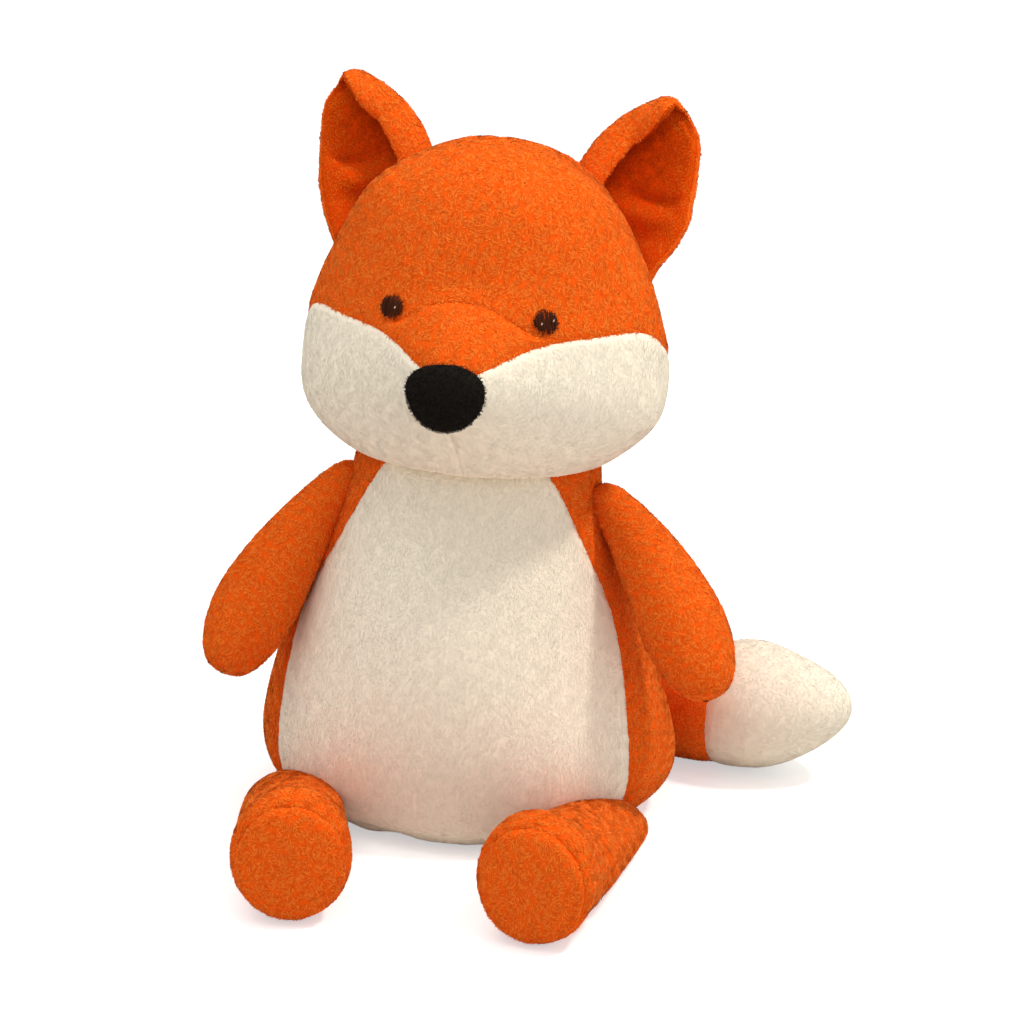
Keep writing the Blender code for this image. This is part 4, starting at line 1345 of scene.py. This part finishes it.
low, high = (np.array(corner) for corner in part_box("nose_pad"))
low[2] -= NOSE_LOWER
nose = Form("nose", *nose_rings(low, high), nose_panel, 71, cap=0.3 * MM)
looks["black"] = (black_skin, black_pile, FLEECE, "black_fleece")
dress("nose", nose, "nose", "black", ["nose_pad"], riding("head"), 701)

# %% [markdown]
# ## Eyes
# The eyes are embroidered: satin stitches side by side, all running one way, over a disc.
# Each stitch is a thin tube on an arch, so light breaks over the threads. Short loose ends
# stand out round the rim, and a few pale stitches are a painted highlight, the eye's glint.

# %% Stitches

STITCHES = 21
STITCH_STATIONS = 9
STITCH_SIDES = 6
STITCH_RADIUS = 0.36 * MM
EYE_DOME = 1.5 * MM
EYE_RAISED = 0.9 * MM
STITCH_ENDS = ((-1, -0.8, 0.8, 1), (0.1, 1, 1, 0.1))


def tubes(lines, radii, outward):
    """Closed tubes round lines (count, stations, 3): points and faces of all of them.

    radii is given for each station. The first and last stations become the poles.
    """
    count, stations = lines.shape[:2]
    run = unit(np.gradient(lines, axis=1))
    first = unit(np.cross(run, outward))
    second = np.cross(run, first)
    turn = 2 * np.pi * np.arange(STITCH_SIDES) / STITCH_SIDES
    ring = first[:, :, None] * np.cos(turn)[:, None] + second[:, :, None] * np.sin(turn)[:, None]
    ring = lines[:, :, None] + ring * radii[:, :, None, None]
    inner = ring[:, 1:-1].reshape(count, -1, 3)
    points = np.concatenate([ring[:, 0, :1], inner, ring[:, -1, :1]], axis=1)
    faces = facing_out(points[0], grid_faces(stations, STITCH_SIDES))
    faces = faces + points.shape[1] * np.arange(count)[:, None, None]
    return points.reshape(-1, 3), faces.reshape(-1, 4)


def stitch_piece(name, lines, radii, outward, material, seed):
    """One object from many stitches."""
    points, faces = tubes(lines, radii, outward)
    triangles, quads = split_faces(faces)
    piece = make_mesh(name, points, triangles, quads, material)
    each = len(points) // len(lines)
    store(piece, "shade", np.repeat(np.random.default_rng(seed).uniform(0, 1, len(lines)), each))
    store(piece, "along", np.full(len(points), 0.7))
    return piece


def eye_frame(normal):
    """Sideways and upward directions on the skin at an eye."""
    up = unit(UP - normal * normal[2])
    return np.cross(up, normal), up


def satin_eye(word, seed):
    """Parallel stitches over a disc: each follows a chord, raised by dome * (1 - 0.85 r^2)."""
    chance = np.random.default_rng(seed)
    centre, normal = eye_places[word]
    aside, up = eye_frame(normal)
    offset = np.linspace(-0.95, 0.95, STITCHES) + chance.normal(0, 0.02, STITCHES)
    chord = np.sqrt(np.maximum(1 - offset**2, 0.05)) * chance.uniform(0.9, 1.12, STITCHES)
    place = np.linspace(-1, 1, STITCH_STATIONS) * chord[:, None]
    skew = chance.normal(0, 0.05, (STITCHES, 1))
    sideways = offset[:, None] + skew * place
    rise = EYE_RAISED + EYE_DOME * (1 - 0.85 * (sideways**2 + place**2))
    flat = EYE_RADIUS * (sideways[..., None] * aside + place[..., None] * up)
    lines = centre + flat + rise[..., None] * normal
    thick = STITCH_RADIUS * np.interp(np.linspace(-1, 1, STITCH_STATIONS), *STITCH_ENDS)
    radii = np.tile(thick, (STITCHES, 1))
    return stitch_piece(f"eye_{word}", lines, radii, normal, thread, seed)


# %% Loose ends and painted glints

RIM_ENDS = 110
RIM_RAISED = 1.0 * MM
RIM_BLADE = dict(length=1.4 * MM, width=0.4 * MM, lift=0.5, tilt=0.2)
GLINT_RAISED = 2.5 * MM
GLINT_RADIUS = 0.28 * MM
GLINT_THICK = np.array([0.2, 1, 1, 1, 0.2])
GLINTS = {"left": ((0.62, 0.05), (-0.42, -0.18)), "right": ((0.45, 0.0),)}


def rim_ends(word, seed):
    """Short thread ends that lean outwards on the outer part of the disc."""
    chance = np.random.default_rng(seed)
    centre, normal = eye_places[word]
    aside, up = eye_frame(normal)
    turn = chance.uniform(0, 2 * np.pi, RIM_ENDS)
    out = aside * np.cos(turn)[:, None] + up * np.sin(turn)[:, None]
    reach = EYE_RADIUS * np.sqrt(chance.uniform(0.55, 1.0, RIM_ENDS))[:, None]
    roots = centre + out * reach + RIM_RAISED * normal
    ups = np.tile(normal, (RIM_ENDS, 1))
    ways = unit(out + np.cross(normal, out) * chance.normal(0, 0.5, (RIM_ENDS, 1)))
    corners, own = blades(roots, ups, ways, np.ones((RIM_ENDS, 1)), seed=seed, **RIM_BLADE)
    return blade_piece(f"eye_{word}_ends", corners, own, thread, seed)


def glint(word, seed):
    """Tiny pale stitches on the disc: a painted highlight."""
    centre, normal = eye_places[word]
    aside, up = eye_frame(normal)
    spots = np.array(GLINTS[word]) * EYE_RADIUS
    place = np.linspace(-0.7, 0.7, 5) * MM
    middle = centre + spots[:, :1] * aside + spots[:, 1:] * up + GLINT_RAISED * normal
    lines = middle[:, None] + place[:, None] * unit(up + 0.4 * aside)
    radii = np.tile(GLINT_RADIUS * GLINT_THICK, (len(spots), 1))
    return stitch_piece(f"eye_{word}_glint", lines, radii, normal, glint_highlight_thread, seed)


for word, seed in (("left", 801), ("right", 811)):
    eye = satin_eye(word, seed)
    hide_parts(f"eye_{word}")
    for piece in (eye, rim_ends(word, seed + 3), glint(word, seed + 5)):
        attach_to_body(piece, "head")

# %% [markdown]
# ## Camera, light and floor
# The camera stands where the photographer stood, found by laying a flat drawing of the
# model over the picture. The light is a bright surround with three lamps. A small key lamp
# high on the picture's right throws the head's shadow on the tummy, a wide one from above
# on the left softens it, and a weak one lights the front.

# %% Camera

AZIMUTH = 8.5
ELEVATION = 19.5
ROLL = np.radians(1.8)
DISTANCE = 1.95
PIXEL = 0.49 * MM
AIM = (18 * MM, -1 * MM)
AIM_HEIGHT = 150 * MM
SENSOR = 36
PICTURE_PIXELS = 1024


def direction(azimuth, elevation):
    """The unit vector at two angles in degrees: azimuth 0 is in front, 90 at the toy's left."""
    a, e = np.radians(azimuth), np.radians(elevation)
    return np.array([np.sin(a) * np.cos(e), -np.cos(a) * np.cos(e), np.sin(e)])


back = direction(AZIMUTH, ELEVATION)
right = unit(np.cross(UP, back))
upward = np.cross(back, right)
rolled_right = right * np.cos(ROLL) + upward * np.sin(ROLL)
rolled_up = upward * np.cos(ROLL) - right * np.sin(ROLL)
aim = np.array([0, 0, AIM_HEIGHT]) + right * AIM[0] + upward * AIM[1]
lens = bpy.data.cameras.new("camera")
lens.sensor_width = SENSOR
lens.lens = SENSOR * DISTANCE / (PICTURE_PIXELS * PIXEL)
camera = bpy.data.objects.new("camera", lens)
bpy.context.scene.collection.objects.link(camera)
turned = np.eye(4)
turned[:3, :3] = np.column_stack([rolled_right, rolled_up, back])
turned[:3, 3] = aim + back * DISTANCE
camera.matrix_world = Matrix(turned.tolist())
bpy.context.scene.camera = camera
bpy.context.scene.view_settings.view_transform = "Standard"
print("camera:", np.round(turned[:3, 3], 3).tolist(), "lens", round(lens.lens, 1))

# %% Light

LAMP_AIM = Vector((0, 0, 0.17))
SURROUND_STRENGTH = 0.74


def lamp(name, azimuth, elevation, distance, size, power, colour):
    """A square lamp aimed at the middle of the toy from a direction in degrees."""
    data = bpy.data.lights.new(name, "AREA")
    data.shape = "SQUARE"
    data.size = size
    data.energy = power
    data.color = colour
    made = bpy.data.objects.new(name, data)
    bpy.context.scene.collection.objects.link(made)
    way = Vector(direction(azimuth, elevation).tolist())
    made.location = LAMP_AIM + way * distance
    made.rotation_mode = "QUATERNION"
    made.rotation_quaternion = way.to_track_quat("Z", "Y")
    return made


lamp("key", 91, 57, 1.6, 0.2, 14.4, (1.0, 0.97, 0.92))
lamp("top", -60, 72, 1.9, 1.3, 13, (1.0, 0.99, 0.97))
lamp("fill", 42, 15, 1.9, 0.8, 1.5, (1.0, 0.98, 0.95))

world = bpy.data.worlds.new("surround")
bpy.context.scene.world = world
world.use_nodes = True
tree = world.node_tree
tree.nodes.clear()
seen = tree.nodes.new("ShaderNodeBackground")
lit = tree.nodes.new("ShaderNodeBackground")
seen.inputs["Color"].default_value = (1, 1, 1, 1)
lit.inputs["Color"].default_value = (0.97, 0.98, 1.0, 1)
lit.inputs["Strength"].default_value = SURROUND_STRENGTH
path = tree.nodes.new("ShaderNodeLightPath")
direct = number(tree, "MAXIMUM", path.outputs["Is Camera Ray"], path.outputs["Is Glossy Ray"])
direct = number(tree, "MAXIMUM", direct, path.outputs["Is Transmission Ray"])
either = tree.nodes.new("ShaderNodeMixShader")
tree.links.new(direct, either.inputs[0])
tree.links.new(lit.outputs[0], either.inputs[1])
tree.links.new(seen.outputs[0], either.inputs[2])
finish = tree.nodes.new("ShaderNodeOutputWorld")
tree.links.new(either.outputs[0], finish.inputs["Surface"])

# %% Floor

FLOOR_REACH = 6.0
FLOOR_COLOUR = (0.74, 0.73, 0.71, 1)
FLOOR_GLOW = 0.5


def floor_material():
    """A white floor: a plain diffuse surface, with white added where the camera sees it."""
    made = bpy.data.materials.new("floor_white")
    made.use_nodes = True
    tree = made.node_tree
    tree.nodes.clear()
    plain = tree.nodes.new("ShaderNodeBsdfDiffuse")
    plain.inputs["Color"].default_value = FLOOR_COLOUR
    glow = tree.nodes.new("ShaderNodeEmission")
    path = tree.nodes.new("ShaderNodeLightPath")
    seen = number(tree, "MULTIPLY", path.outputs["Is Camera Ray"], FLOOR_GLOW)
    tree.links.new(seen, glow.inputs["Strength"])
    both = tree.nodes.new("ShaderNodeAddShader")
    tree.links.new(plain.outputs[0], both.inputs[0])
    tree.links.new(glow.outputs[0], both.inputs[1])
    out = tree.nodes.new("ShaderNodeOutputMaterial")
    tree.links.new(both.outputs[0], out.inputs["Surface"])
    return made


corner = np.array([(-1, -1, 0), (1, -1, 0), (1, 1, 0), (-1, 1, 0)]) * FLOOR_REACH
no_triangles = np.zeros((0, 3), int)
floor = make_mesh("floor", corner, no_triangles, np.array([[0, 1, 2, 3]]), floor_material())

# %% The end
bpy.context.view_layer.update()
